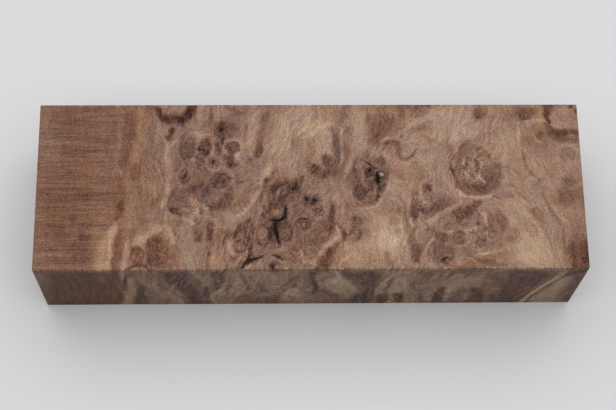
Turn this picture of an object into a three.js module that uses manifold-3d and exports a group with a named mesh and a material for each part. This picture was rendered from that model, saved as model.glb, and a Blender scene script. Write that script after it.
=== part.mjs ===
// A stabilized burl blank: one sawn and sanded block of burl wood, soaked with hardened resin, that a
// maker cuts knife handles, pens or boxes from.
//
// Frame: millimetres, +X along the block, +Y to its back, +Z up. The origin is the middle of the
// bottom face. The burl's spikes run through the thickness, so the broad faces show them as round
// eyes, and the open bark pockets between the eyes are small crevices and pits in those faces.

import * as THREE from "three";
import { mergeVertices } from "three/addons/utils/BufferGeometryUtils.js";
import Module from "manifold-3d";

// Driving dimensions
const LENGTH = 130;
const WIDTH = 42;
const THICKNESS = 27.5;
const ARRIS = 0.25; // the sanded bevel along every edge
const OVERSHOOT = 0.5; // how far a cutter stands out of the face that it cuts
const PIT_SIDES = 10;

// Each crevice is a run of [x, y, width] points across a broad face, and how deep it goes.
const TOP_CREVICES = [
  {
    depth: 2.4,
    run: [[-6.1, -5.7, 0.3], [-6.0, -7.2, 0.55], [-6.6, -8.3, 0.5], [-8.2, -8.9, 0.4], [-10.1, -8.6, 0.25]],
  },
  { depth: 2.8, run: [[-8.5, -10.0, 0.5], [-8.4, -11.4, 1.0], [-8.2, -12.8, 0.7], [-7.7, -14.7, 0.2]] },
  { depth: 1.8, run: [[-16.0, -19.7, 0.3], [-15.2, -18.9, 0.75], [-13.6, -18.3, 0.4], [-11.6, -17.7, 0.2]] },
  { depth: 1.0, run: [[-9.1, -17.4, 0.2], [-8.0, -17.8, 0.4], [-6.9, -18.7, 0.2]] },
  { depth: 1.2, run: [[13.3, 5.9, 0.15], [14.5, 4.9, 0.3], [15.5, 4.2, 0.2]] },
  { depth: 2.2, run: [[15.7, 3.3, 0.4], [16.0, 2.0, 0.9], [15.9, 0.4, 0.45]] },
  { depth: 1.0, run: [[15.8, -1.9, 0.15], [15.7, -2.9, 0.3], [15.5, -3.9, 0.15]] },
  { depth: 1.2, run: [[30.2, -19.1, 0.2], [30.9, -18.7, 0.4], [31.7, -18.1, 0.2]] },
];
const BOTTOM_CREVICES = [
  { depth: 2.0, run: [[-11.3, -11.9, 0.25], [-11.0, -13.4, 0.8], [-10.2, -15.0, 0.5], [-8.9, -15.8, 0.2]] },
  { depth: 1.6, run: [[7.6, 6.5, 0.2], [8.6, 5.6, 0.6], [9.1, 4.1, 0.45], [8.8, 2.8, 0.2]] },
  { depth: 1.2, run: [[24.3, -12.6, 0.2], [25.4, -12.1, 0.45], [26.6, -12.3, 0.2]] },
];

// Each pit is the open heart of a spike: [x, y, radius, depth].
const TOP_PITS = [
  [-9.2, -20.15, 0.4, 1.2],
  [14.0, 3.7, 0.4, 1.3],
  [-4.2, -0.9, 0.45, 0.9],
  [-1.2, -3.4, 0.4, 1.1],
  [0.7, -3.8, 0.45, 1.2],
  [-26.4, 9.1, 0.3, 0.8],
  [-21.3, 14.4, 0.35, 0.8],
  [39.2, -9.9, 0.3, 0.7],
];
const BOTTOM_PITS = [
  [-6.4, -4.2, 0.45, 1.2],
  [-27.8, 7.4, 0.35, 0.9],
  [5.3, -7.5, 0.4, 1.1],
  [33.6, 1.8, 0.3, 0.8],
];

const wasm = await Module();
wasm.setup();

// A closed geometry as a solid that can be joined and cut.
function solidOf(geometry) {
  const bare = geometry.index ? geometry.toNonIndexed() : geometry.clone();
  bare.deleteAttribute("normal");
  bare.deleteAttribute("uv");
  const merged = mergeVertices(bare, 1e-4);
  return new wasm.Manifold(
    new wasm.Mesh({
      numProp: 3,
      vertProperties: new Float32Array(merged.attributes.position.array),
      triVerts: new Uint32Array(merged.index.array),
    }),
  );
}

// A solid as a geometry for a mesh.
function geometryOf(solid) {
  const { vertProperties, numProp, triVerts } = solid.getMesh();
  const geometry = new THREE.BufferGeometry();
  const places = new THREE.InterleavedBuffer(vertProperties, numProp);
  geometry.setAttribute("position", new THREE.InterleavedBufferAttribute(places, 3, 0));
  geometry.setIndex(new THREE.BufferAttribute(triVerts, 1));
  const flat = geometry.toNonIndexed();
  flat.computeVertexNormals();
  return flat;
}

// The sawn block with a small bevel along its twelve edges.
function sawnBlock() {
  const x = LENGTH / 2 - ARRIS;
  const y = WIDTH / 2 - ARRIS;
  const cut = ARRIS * Math.SQRT1_2;
  const outline = new THREE.Shape([
    new THREE.Vector2(x - cut, -y),
    new THREE.Vector2(x, -y + cut),
    new THREE.Vector2(x, y - cut),
    new THREE.Vector2(x - cut, y),
    new THREE.Vector2(-x + cut, y),
    new THREE.Vector2(-x, y - cut),
    new THREE.Vector2(-x, -y + cut),
    new THREE.Vector2(-x + cut, -y),
  ]);
  return new THREE.ExtrudeGeometry(outline, {
    depth: THICKNESS - 2 * ARRIS,
    bevelSize: ARRIS,
    bevelThickness: ARRIS,
    bevelSegments: 1,
  }).translate(0, 0, ARRIS);
}

// The outline of a crevice: the run's points pushed to either side by half the width there.
function creviceOutline(run) {
  const points = run.map(([x, y]) => new THREE.Vector2(x, y));
  const side = (i, sign) => {
    const before = points[Math.max(i - 1, 0)];
    const after = points[Math.min(i + 1, points.length - 1)];
    const along = after.clone().sub(before).normalize();
    return new THREE.Vector2(-along.y, along.x).multiplyScalar((sign * run[i][2]) / 2).add(points[i]);
  };
  const left = run.map((_, i) => side(i, 1));
  const right = run.map((_, i) => side(i, -1));
  return new THREE.Shape([...right, ...left.reverse()]);
}

// A cutter for a crevice. On the top face, with facing 1, it reaches down from OVERSHOOT above the
// face to its floor, and on the bottom face, with facing -1, up in the same way.
function creviceCutter({ run, depth }, facing) {
  return new THREE.ExtrudeGeometry(creviceOutline(run), {
    depth: depth + OVERSHOOT,
    bevelEnabled: false,
  }).translate(0, 0, facing > 0 ? -depth : -OVERSHOOT);
}

// A cutter for a pit: a cone that is as wide as the pit where it crosses the face.
function pitCutter([x, y, radius, depth], facing) {
  const height = depth + OVERSHOOT;
  return new THREE.ConeGeometry((radius * height) / depth, height, PIT_SIDES)
    .rotateX((-facing * Math.PI) / 2)
    .translate(x, y, facing * (height / 2 - depth));
}

// The cutters of one broad face, at the height of that face.
function cutters(crevices, pits, facing, height) {
  const made = [
    ...crevices.map((crevice) => creviceCutter(crevice, facing)),
    ...pits.map((pit) => pitCutter(pit, facing)),
  ];
  return made.map((cutter) => solidOf(cutter.translate(0, 0, height)));
}

// The block with its bark pockets cut.
function burlBlock() {
  let solid = solidOf(sawnBlock());
  for (const cutter of cutters(TOP_CREVICES, TOP_PITS, 1, THICKNESS)) solid = solid.subtract(cutter);
  for (const cutter of cutters(BOTTOM_CREVICES, BOTTOM_PITS, -1, 0)) solid = solid.subtract(cutter);
  return geometryOf(solid);
}

const burl = new THREE.MeshStandardMaterial({ color: 0x8f7059, roughness: 0.5, metalness: 0 });
const block = new THREE.Mesh(burlBlock(), burl);
block.name = "burl_block";

const blank = new THREE.Group();
blank.add(block);

export default blank;
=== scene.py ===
"""Looks of a stabilized burl blank: one sawn and sanded block of burl wood, soaked with hardened resin.

The marks below place the burl's figure as it shows in the block's top face, in millimetres, with x along
the block and y to its back. The figure runs down through the block, so every face cuts the same growth.
"""
import math

import bpy
import numpy as np
from mathutils import Matrix, Vector


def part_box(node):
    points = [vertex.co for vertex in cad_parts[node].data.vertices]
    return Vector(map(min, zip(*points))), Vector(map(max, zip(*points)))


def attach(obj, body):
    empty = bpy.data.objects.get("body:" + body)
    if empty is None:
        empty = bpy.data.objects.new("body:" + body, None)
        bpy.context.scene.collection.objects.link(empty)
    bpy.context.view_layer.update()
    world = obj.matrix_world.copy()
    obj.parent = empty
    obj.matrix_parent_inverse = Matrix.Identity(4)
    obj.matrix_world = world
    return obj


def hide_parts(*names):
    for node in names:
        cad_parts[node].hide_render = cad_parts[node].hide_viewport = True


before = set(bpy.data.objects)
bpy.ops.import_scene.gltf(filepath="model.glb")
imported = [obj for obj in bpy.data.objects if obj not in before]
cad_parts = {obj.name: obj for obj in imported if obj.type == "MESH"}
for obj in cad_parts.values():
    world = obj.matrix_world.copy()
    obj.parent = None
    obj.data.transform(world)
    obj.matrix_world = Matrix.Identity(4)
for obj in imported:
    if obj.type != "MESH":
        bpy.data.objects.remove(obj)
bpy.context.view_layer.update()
MM = 0.001
LENGTH = 130.0
WIDTH = 42.0
THICKNESS = 27.5

# Broad patches: x, y, half length, half width (mm), turn (degrees), tone, warmth, strength
PATCHES = [
    # the plain end
    (-57.5, 0, 12, 30, 0, 0.42, 0.3, 1),
    (-63, 10, 3.5, 12, 0, 0.48, -0.25, 0.8),
    (-57, -3, 8, 3.4, 0, 0.4, 0.55, 0.7),
    (-64, -12, 2, 9, 0, 0.46, -0.1, 0.6),
    (-57, 15.5, 6, 4, 0, 0.4, -0.1, 0.6),
    (-62, -2, 3, 3, 0, 0.38, 0.35, 0.5),
    (-52, 11, 4, 3, 0, 0.4, -0.1, 0.5),
    (-57, -11.5, 4.5, 2.6, 0, 0.36, 0, 0.7),
    (-54, -15, 3, 3.6, 0, 0.37, 0, 0.7),
    (-50, -14, 1.6, 8, 0, 0.5, 0.5, 0.7),
    (-53.5, -5, 2.5, 5, 0, 0.4, 0.4, 0.5),
    (-50.5, 3, 2, 8, 0, 0.46, 0.3, 0.6),
    (-48, 14, 2.5, 7, 0, 0.44, 0.2, 0.6),
    (-47.5, -3, 2.2, 5, 0, 0.44, 0.55, 0.7),
    # the band between plain wood and burl
    (-42.5, 0, 4, 24, 0, 0.47, 0.5, 0.8),
    (-43.6, 14, 1.6, 6, 0, 0.4, 0.3, 0.8),
    (-40.3, 15.5, 1.5, 6.5, 0, 0.54, 0.85, 0.9),
    (-37.6, 12.5, 1.9, 5.5, 8, 0.53, -0.15, 0.9),
    (-38, 3.5, 2.6, 5, 0, 0.53, 0.45, 0.8),
    (-42.6, -7, 2.4, 4.5, 0, 0.55, 0.55, 0.8),
    (-38.5, -4.5, 3, 4.5, 0, 0.47, 0.5, 0.8),
    (-36, -8, 3.2, 2.2, 0, 0.51, 0, 0.8),
    # the left half of the burl
    (-24.5, 5.5, 9.5, 13, 0, 0.47, -0.1, 0.9),
    (-30.5, 4.5, 3, 7.5, 0, 0.37, -0.3, 0.85),
    (-25.5, 4, 4.6, 6.5, 0, 0.4, -0.2, 0.8),
    (-20, 15, 4, 4.6, 0, 0.42, 0, 0.85),
    (-22, 19, 2.4, 1.8, 0, 0.6, 0, 0.7),
    (-14, 14.5, 2.6, 7.5, -12, 0.6, 0.05, 0.8),
    (-28.5, -16, 3.2, 6.5, 0, 0.58, -0.15, 0.9),
    (-22.2, -17.5, 2.4, 4.2, 0, 0.62, 0.4, 0.9),
    (-17.5, -7, 3.2, 3.6, -25, 0.57, 0, 0.9),
    (-15.8, -1.5, 3.4, 3.6, -30, 0.53, 0.15, 0.7),
    (-13, 3.2, 3, 3, 0, 0.54, -0.25, 0.7),
    (-28, -7.5, 3.6, 3, 0, 0.51, 0.1, 0.6),
    (-22.5, -3.5, 4.6, 3.6, 0, 0.42, 0, 0.8),
    # the middle
    (-6, 13, 6, 9.5, -25, 0.64, 0, 0.95),
    (-1, 16.5, 6.5, 5, 0, 0.65, 0.1, 0.8),
    (-8.5, -7, 4.4, 8, -10, 0.35, 0.05, 0.9),
    (-2, -6, 4.5, 6.5, 0, 0.43, -0.02, 0.8),
    (-14, -13.5, 4, 5, 0, 0.42, 0.02, 0.8),
    (-9.5, -20, 5, 2.8, 0, 0.5, 0, 0.8),
    (-2, -14.5, 3.6, 5, 0, 0.41, 0.1, 0.8),
    (5.5, -1, 4.2, 3.8, 0, 0.5, -0.1, 0.8),
    (3, 10, 4.4, 5, 0, 0.65, 0, 0.85),
    (11.8, 14.5, 2, 8, 4, 0.64, -0.1, 0.95),
    (23.5, 10, 3.2, 6, 0, 0.6, -0.1, 0.8),
    (14, 1.2, 4.8, 6.6, -8, 0.42, -0.05, 0.95),
    (21.8, 0, 3.8, 8, -6, 0.58, 0.1, 0.9),
    (11.5, -5.2, 3.2, 1.6, 0, 0.5, -0.1, 0.8),
    (2.5, -12, 2.6, 3.6, 0, 0.4, 0.45, 0.85),
    (8, -9, 4, 2.8, -30, 0.5, 0.15, 0.7),
    (9.5, -17.5, 4.5, 3.6, -20, 0.62, 0.45, 0.95),
    (14, -9.6, 5, 1.8, 0, 0.54, 0.2, 0.5),
    (16.6, -9.2, 2.8, 1.6, 0, 0.68, 0.3, 0.7),
    (16.5, -18.8, 3.4, 2.2, 0, 0.58, 0.5, 0.85),
    (22.6, -17.5, 2, 4, -6, 0.56, -0.1, 0.9),
    # the right part
    (34, 15.5, 7.5, 5.5, 0, 0.66, -0.1, 0.95),
    (27.5, 8.5, 4, 4.2, 0, 0.62, -0.1, 0.85),
    (30, 2, 3, 3.4, 0, 0.58, -0.1, 0.8),
    (27, -4.5, 3.6, 4.6, 0, 0.47, -0.08, 0.85),
    (29.5, -8.8, 4.5, 1.7, 32, 0.52, 0, 0.8),
    (31.5, -15.5, 4.6, 4.8, 0, 0.43, 0, 0.9),
    (40, -13, 5.4, 4.4, 0, 0.47, -0.02, 0.95),
    (39.4, 3.8, 6.4, 7, 0, 0.46, 0.08, 0.95),
    (43.5, 9, 3, 4.4, -20, 0.6, 0.38, 0.8),
    (42.5, 14.6, 4.5, 2.2, 15, 0.6, 0.15, 0.7),
    (47.5, 3, 3.2, 5, 0, 0.56, -0.1, 0.8),
    (48, 18.3, 3.5, 1.8, 0, 0.5, 0.12, 0.8),
    (47.5, 10.5, 3.6, 4.6, 0, 0.64, 0.15, 0.8),
    (47.5, -6.5, 3.4, 4.2, 0, 0.64, 0.2, 0.9),
    (46.5, -12.5, 2.2, 3, 20, 0.56, 0.5, 0.8),
    (39, -20, 7, 1.9, 0, 0.47, 0.55, 0.9),
    (54, 4.5, 4, 4, 0, 0.6, -0.02, 0.8),
    (53.2, -1.5, 3.5, 3, 0, 0.57, -0.08, 0.8),
    (55.5, -11, 2.4, 5, -10, 0.57, -0.15, 0.85),
    (54.2, 12.2, 3.3, 2.7, 0, 0.47, 0.55, 0.9),
    (61.8, 8.5, 3.6, 5, 0, 0.55, -0.1, 0.9),
    (61.5, 2.5, 3.6, 3.6, 0, 0.56, -0.05, 0.8),
    (60.5, -3, 3, 2.6, 0, 0.45, 0.25, 0.9),
    (62.5, -9, 3.2, 4.4, 0, 0.49, 0.12, 0.9),
    (60.8, 17.8, 2.4, 3.2, 0, 0.6, 0.1, 0.9),
    (64, 17.5, 1.6, 3, 0, 0.54, 0, 0.8),
    (-3.2, 11.2, 1.9, 1.7, 30, 0.5, 0.1, 0.7),
    (-11.1, 16.4, 1.3, 1.8, 0, 0.41, 0.15, 0.8),
    (0.4, -4.2, 2.4, 2, 0, 0.4, -0.2, 0.7),
    (10.6, 2.4, 1.7, 2.4, 0, 0.39, 0, 0.8),
    (-5.9, -11.6, 1.4, 2.6, 0, 0.38, 0, 0.8),
    (-32.8, -17.5, 2.2, 3.6, 0, 0.46, 0.75, 0.9),
    (-29.6, 10, 2.2, 4.2, 0, 0.4, -0.25, 0.9),
    (-30.2, 14.6, 2.2, 1.5, 0, 0.47, -0.3, 0.7),
    (-24.9, -0.3, 2.8, 1.9, 0, 0.36, -0.2, 0.85),
    (-20.6, 14.6, 3.4, 2.8, 0, 0.4, 0, 0.8),
    (-20.5, -13, 2.2, 2.4, 0, 0.4, 0.4, 0.9),
    (-31.4, -3.2, 2.6, 2.5, 0, 0.38, -0.2, 0.95),
    (-32, 6, 1.4, 4, 0, 0.38, -0.1, 0.7),
    (-27.5, 2.5, 2, 2, 0, 0.41, 0, 0.7),
    (17.2, 16, 3.6, 6.4, -8, 0.42, 0.35, 0.95),
    (22.5, 19.4, 5, 2.2, -8, 0.41, 0.4, 0.9),
    (35.2, -7.4, 2, 2.3, 30, 0.34, 0.15, 0.9),
    (17.6, -13.6, 5.6, 3.8, 12, 0.73, 0.3, 0.95),
    (14.2, 3.4, 2.2, 2.6, 0, 0.37, 0, 0.8),
    (10.6, -10.8, 1.8, 3.4, -8, 0.38, 0.15, 0.85),
    (26.8, 14.8, 2.6, 1.1, 0, 0.46, 0.1, 0.8),
    (20.5, -7.5, 2.6, 1.8, 0, 0.47, 0.25, 0.8),
    (31, -5.9, 5, 2.7, 16, 0.36, 0.1, 0.95),
    (52, 18.5, 2.6, 2.1, 5, 0.35, 0.3, 0.95),
    (52, -16.5, 5.6, 5, 0, 0.69, 0.25, 0.95),
    (50, -8, 2.8, 5, 30, 0.61, 0.2, 0.7),
    (57.6, -13.5, 1.9, 5, -6, 0.57, -0.15, 0.85),
    (54.6, 12, 3, 3.2, 0, 0.43, 0.5, 0.8),
    (63.6, -17.4, 4, 5.2, 0, 0.31, 0.35, 0.95),
    (61.6, -3.2, 3.6, 3.4, 0, 0.41, 0.1, 0.85),
    (62, 0.9, 2.6, 1.9, 0, 0.41, -0.05, 0.8),
    (59.6, 13.2, 2.6, 1.6, -10, 0.36, 0.3, 0.85),
    (61.8, 7.8, 2.2, 1.8, 0, 0.5, -0.1, 0.7),
    (46.5, -13.4, 2.6, 2.2, 20, 0.51, 0.4, 0.8),
    (17.6, 14.6, 2.8, 4.8, -12, 0.41, 0.5, 0.75),
    # soft changes over wide places
    (50, 2, 3.5, 6, 20, 0.66, 0, 0.35),
    (55.5, -1, 3, 3, 0, 0.63, -0.1, 0.4),
    (61, 1.3, 2, 1.6, 0, 0.64, -0.1, 0.5),
    (-4, 6, 2.6, 3.2, 0, 0.66, 0, 0.35),
    (-28, 12.4, 3.2, 1.4, 0, 0.62, 0, 0.4),
    (-33, 6, 1.2, 3.6, 0, 0.62, 0, 0.4),
    (-18.5, -10.5, 2.4, 1.2, 0, 0.62, 0.1, 0.4),
    (-39, -16, 1.6, 1.6, 0, 0.6, 0.4, 0.45),
    (-52, -5, 5, 3, 0, 0.48, 0.4, 0.5),
    (12.5, -16, 2, 4, 0, 0.64, 0.2, 0.35),
    (36, 10.2, 1.6, 1.6, 0, 0.64, 0, 0.5),
    (-4.6, -4, 1.8, 3.2, -25, 0.42, 0, 0.5),
    (-1.4, -7, 1.6, 2, 0, 0.42, 0, 0.4),
    (0, -15.8, 1.8, 2.4, 0, 0.42, 0.1, 0.45),
    (23, -12.4, 1.4, 2, 0, 0.42, 0.1, 0.5),
    (26.8, -16, 1.4, 1.8, 0, 0.42, 0.1, 0.4),
    (33, 15.5, 2.6, 2, 0, 0.48, 0.1, 0.45),
    (8.5, 1.2, 1.6, 1.6, 0, 0.42, 0, 0.45),
    (-10, 15.2, 2.4, 1.6, 0, 0.43, 0.1, 0.45),
    (-35.3, -4.3, 1.6, 2.6, 0, 0.42, 0.2, 0.5),
    (-27.5, -4.5, 2.4, 1.8, 0, 0.38, 0, 0.45),
    (-30, -9.2, 1.4, 1.4, 0, 0.4, 0.1, 0.45),
    (-40.5, -11.6, 2.8, 1.4, 0, 0.46, 0.3, 0.45),
    (-23, -14.4, 1.6, 1.6, 0, 0.4, 0.1, 0.45),
    (12.6, 6, 1.6, 2.6, -20, 0.42, 0, 0.45),
]

# Streaks: tone, warmth, strength, then points x, y, half width along the streak
STREAKS = [
    # the plain end and the band beside it
    (0.66, 0.32, 0.85, [(-45.9, -9.2, 0.4), (-47, -13, 1.3), (-48.2, -17, 1.9), (-48.9, -21.5, 1.9)]),
    (0.72, 0.15, 0.7, [(-46.6, -11.5, 0.2), (-47.2, -15, 0.35), (-47.3, -20, 0.35)]),
    (0.52, 0.95, 0.6, [(-47.9, -13.5, 0.2), (-48, -15.5, 0.35), (-48.1, -18, 0.2)]),
    (0.39, 0.8, 0.85, [(-44.7, -11, 0.5), (-45.3, -15, 1), (-45.8, -21.5, 1.1)]),
    (0.5, 0.95, 0.7, [(-43.6, -12, 0.6), (-44, -16.5, 0.6), (-44.6, -21.5, 0.6)]),
    (0.66, -0.1, 0.85, [(-43, -13.5, 0.25), (-43.4, -17, 0.6), (-43.8, -21.5, 0.7)]),
    (0.6, 0.4, 0.6, [(-43.6, -1, 0.3), (-43.3, -5, 0.8), (-42.8, -10, 0.9)]),
    (0.57, 0.2, 0.7, [(-45.9, 18.5, 0.15), (-45.8, 13, 0.3), (-45.7, 9, 0.2)]),
    (0.68, 0.1, 0.7, [(-45.5, 5, 0.15), (-45.2, 3.6, 0.3), (-45.1, 2.2, 0.1)]),
    (0.55, 0.45, 0.7, [(-42, 10, 0.5), (-41.6, 7, 0.9), (-41.8, 5, 0.4)]),
    (0.62, 0.25, 0.8, [(-32, 11.6, 0.3), (-33.6, 10.3, 0.7), (-34.2, 7.5, 0.7), (-34, 3, 0.6),
        (-34.1, -0.5, 0.6)]),
    (0.64, -0.05, 0.8, [(-34, 0, 0.6), (-34.3, -2.8, 0.6), (-35.2, -5.5, 0.4)]),
    # the light arch over the knot by the front edge
    (0.66, 0.2, 0.9, [(-41.3, -15.6, 0.7), (-40.2, -12.9, 1.4), (-38, -10.9, 1.2), (-35.6, -10.6, 0.8),
        (-33.4, -12, 0.8), (-32.4, -14.2, 0.5)]),
    (0.58, 0.35, 0.6, [(-33.6, -10.5, 0.6), (-31.5, -11.6, 0.9), (-30.6, -14.5, 0.7)]),
    # the crescent knot by the back edge
    (0.21, 0.4, 0.95, [(-37.1, 20.2, 0.5), (-35.9, 17.9, 0.9), (-34.1, 16.9, 1.2), (-31, 17.1, 1.3),
        (-29.3, 18.6, 1.2), (-27.7, 21.5, 1)]),
    (0.52, -0.1, 0.8, [(-34, 21.5, 0.7), (-32.2, 19.9, 0.8), (-30.6, 20.9, 0.7)]),
    (0.34, 0.35, 0.7, [(-38.9, 21.3, 0.6), (-38, 19.6, 0.3)]),
    (0.57, -0.05, 0.7, [(-26.6, 20, 0.5), (-26.9, 17, 0.8), (-27.6, 14.5, 0.5)]),
    # among the small eyes
    (0.66, 0.1, 0.8, [(-28.9, 13.6, 0.3), (-26.8, 13.1, 0.7), (-24.7, 12.5, 0.4), (-23.3, 9.9, 0.3),
        (-23.2, 8, 0.2)]),
    (0.36, 0.45, 0.8, [(-23.9, 19.9, 0.3), (-23.9, 17.8, 0.5), (-23.2, 15.6, 0.8)]),
    (0.63, 0, 0.6, [(-20.3, 3.8, 0.3), (-18.9, 2.8, 0.5), (-18.3, 0.8, 0.3)]),
    (0.68, 0.25, 0.85, [(-17.9, 8.2, 0.3), (-17.3, 6.5, 0.7), (-16.4, 5.8, 0.4)]),
    (0.64, 0.05, 0.6, [(-18.4, 11.6, 0.25), (-17, 10.7, 0.35), (-16.9, 9.1, 0.25)]),
    (0.67, 0.15, 0.8, [(-30.4, -7.7, 0.2), (-28.7, -8.7, 0.4), (-27.3, -9.8, 0.3), (-25.9, -10.2, 0.2)]),
    (0.7, 0.25, 0.85, [(-28.6, -3.2, 0.4), (-27.6, -5, 0.9), (-26.9, -6.6, 0.7)]),
    (0.62, 0, 0.7, [(-25.9, -4.9, 0.2), (-24.7, -6.6, 0.5), (-24.5, -8.4, 0.3)]),
    (0.63, 0.1, 0.7, [(-22, -8.2, 0.2), (-22.6, -9.4, 0.3), (-21.6, -10.4, 0.3), (-20.3, -10.8, 0.4)]),
    (0.64, 0.85, 0.8, [(-22.2, -10.8, 0.2), (-22.6, -12.6, 0.35), (-22.4, -14.6, 0.2)]),
    (0.52, 0.8, 0.6, [(-21.2, -10.9, 0.3), (-21.4, -13.4, 0.5), (-21.6, -15, 0.3)]),
    (0.38, 0.3, 0.7, [(-24.4, -15.4, 0.3), (-24.2, -17.4, 0.4), (-24.6, -21, 0.3)]),
    (0.24, 0.4, 0.9, [(-6, 0.8, 0.5), (-8, -0.6, 0.5), (-9.2, -2.6, 0.6), (-9.6, -5.2, 0.6),
        (-9.4, -7.6, 0.5)]),
    (0.22, 0.4, 0.9, [(-11.4, -7.2, 0.4), (-9.8, -7.4, 0.6), (-8.4, -9.6, 0.8), (-9.6, -11.8, 0.6),
        (-9.6, -14, 0.5)]),
    (0.3, 0.3, 0.8, [(-33.4, -5.6, 0.3), (-31.9, -6.4, 0.6), (-30.6, -6.9, 0.4)]),
    (0.42, 0.4, 0.6, [(-20.4, -14.5, 0.2), (-20.4, -18, 0.3), (-20, -21, 0.4)]),
    (0.67, 0.3, 0.85, [(-19.9, -13.6, 0.3), (-19.2, -15.4, 0.7), (-18.3, -17, 0.5)]),
    (0.62, 0, 0.6, [(-18.4, -20.3, 0.2), (-17, -18.8, 0.4), (-15.6, -17.6, 0.3)]),
    # leaning bands left of the bark
    (0.42, 0.15, 0.85, [(-10.7, 18.4, 0.7), (-11, 15.2, 1), (-12.1, 11.5, 0.9), (-12.5, 8.2, 1)]),
    (0.63, 0.05, 0.7, [(-13.6, 20.5, 0.5), (-13.9, 15, 0.8), (-14.6, 10, 0.9), (-14.2, 8, 0.4)]),
    (0.46, 0.1, 0.6, [(-15.9, 19.8, 0.3), (-15.4, 15, 0.4), (-16, 11.5, 0.3)]),
    (0.4, 0.1, 0.8, [(-8.2, 4.4, 0.2), (-9.4, 2.7, 0.4), (-10.4, 1, 0.65), (-11.4, -1.4, 0.45),
        (-12.4, -3.8, 0.5)]),
    (0.69, 0.25, 0.85, [(-9.8, 4.6, 0.4), (-10.8, 3.2, 0.8), (-12.3, 0.5, 0.4)]),
    (0.66, 0.15, 0.85, [(-11.7, -0.8, 0.3), (-13.2, -2.8, 0.5), (-14.6, -4.9, 0.5), (-16.2, -6.7, 0.6),
        (-17.4, -8, 0.3)]),
    (0.44, 0.2, 0.6, [(-13.7, 0.5, 0.4), (-15.8, -2.4, 0.7), (-17.6, -4.6, 0.5), (-20, -5.5, 0.3)]),
    (0.6, 0, 0.6, [(-9.7, -3.5, 0.4), (-11.2, -5.5, 0.5), (-12.6, -7.8, 0.5), (-12.8, -9.6, 0.3)]),
    # the bark area
    (0.58, -0.1, 0.85, [(-7.5, -1, 0.3), (-7.7, -2.5, 0.75), (-7.9, -4.2, 0.4)]),
    (0.56, -0.1, 0.7, [(-8.9, -6.2, 0.3), (-8.2, -7.4, 0.6), (-7.2, -7.9, 0.3)]),
    (0.36, 0.25, 0.8, [(-2, 2.4, 0.4), (-2.5, 0.4, 0.7), (-3, -1.8, 0.4)]),
    (0.36, 0.25, 0.8, [(-4, -5.2, 0.3), (-3.9, -6.8, 0.4), (-4.1, -8, 0.2)]),
    (0.6, -0.02, 0.6, [(-5.1, -3.4, 0.3), (-5.3, -6.5, 0.35), (-5.1, -9, 0.3)]),
    (0.56, 0, 0.6, [(-4, 3.6, 0.5), (-1.5, 3.4, 0.6), (-0.8, 1, 0.4)]),
    (0.62, 0.45, 0.75, [(-3.2, -15.8, 0.2), (-2.4, -17.4, 0.5), (-1.9, -19.4, 0.3)]),
    (0.62, 0.3, 0.7, [(-0.9, -15.8, 0.2), (-1.2, -17.2, 0.4), (-0.8, -18.4, 0.2)]),
    (0.38, 0.2, 0.6, [(-5.4, -16.4, 0.3), (-4.4, -18.2, 0.5), (-3.8, -20.4, 0.3)]),
    # the dome and the swirl beside it
    (0.52, 0.1, 0.6, [(-4.6, 9.4, 0.5), (-3, 12.2, 0.7), (-0.8, 13.3, 0.3)]),
    (0.7, 0.2, 0.6, [(-0.4, 16.6, 0.4), (2.6, 16.3, 0.5), (5.6, 15.8, 0.3)]),
    (0.67, 0.05, 0.85, [(7.5, 14.6, 0.3), (7.7, 11, 0.3), (7.5, 8, 0.3), (7.1, 5.9, 0.3)]),
    (0.62, 0.1, 0.6, [(10.3, 9.6, 0.3), (9.6, 7, 0.4), (9, 4.2, 0.5), (8.2, 2, 0.5), (6.8, -1.2, 0.5),
        (5.2, -3.8, 0.4)]),
    (0.58, -0.1, 0.7, [(1.3, 4.7, 0.3), (2.6, 4.5, 0.4), (3.8, 3.1, 0.3)]),
    (0.67, 0.05, 0.9, [(16.9, 9.1, 0.25), (17, 10.6, 0.3), (18.2, 11.9, 0.35), (20.2, 12.3, 0.3)]),
    (0.66, 0.15, 0.8, [(20.8, 6.2, 0.2), (22.4, 5.9, 0.3), (24.4, 6.5, 0.3), (26.2, 5.4, 0.4),
        (28.4, 3, 0.3)]),
    (0.6, 0, 0.6, [(17.2, 8.6, 0.2), (18, 7.3, 0.3), (18.6, 5.6, 0.3)]),
    # under the dark knot
    (0.64, 0, 0.8, [(9.8, -5.5, 0.15), (11.4, -6.2, 0.25), (13.2, -6.2, 0.25), (15, -5.4, 0.2)]),
    (0.6, 0, 0.6, [(10.4, -6.6, 0.15), (12.2, -7.2, 0.2), (14.2, -7, 0.2)]),
    (0.66, 0.2, 0.8, [(15.6, -5.3, 0.3), (17, -3.2, 0.5), (18.3, -0.8, 0.5), (18.7, 1.4, 0.3)]),
    (0.36, 0.7, 0.85, [(6, -9.6, 0.3), (6.9, -11.2, 0.5), (7.8, -12.9, 0.7), (7.2, -14.2, 0.3)]),
    (0.68, 0.3, 0.8, [(5.6, -10.4, 0.2), (6.1, -12, 0.35), (6.9, -13, 0.2)]),
    (0.64, 0.2, 0.7, [(8.3, -11.8, 0.2), (9.3, -12.9, 0.3), (10.2, -12.6, 0.2)]),
    (0.65, 0.2, 0.9, [(0.2, -20.6, 0.5), (2.2, -17.2, 0.6), (4.4, -14.2, 0.6), (6.6, -12.9, 0.4)]),
    (0.48, 0.6, 0.6, [(5.9, -20.8, 0.6), (6.4, -18.6, 0.6), (7.6, -16.4, 0.4)]),
    (0.71, 0.4, 0.8, [(6.3, -20.4, 0.15), (7.6, -18.7, 0.25), (9.3, -17.2, 0.2)]),
    (0.82, 0.3, 0.8, [(22.2, -12.3, 0.2), (22, -13.6, 0.3), (21.5, -14.8, 0.15)]),
    (0.74, 0.3, 0.8, [(19, -16.2, 0.3), (19.2, -18.4, 0.4), (19.5, -21, 0.3)]),
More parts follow.
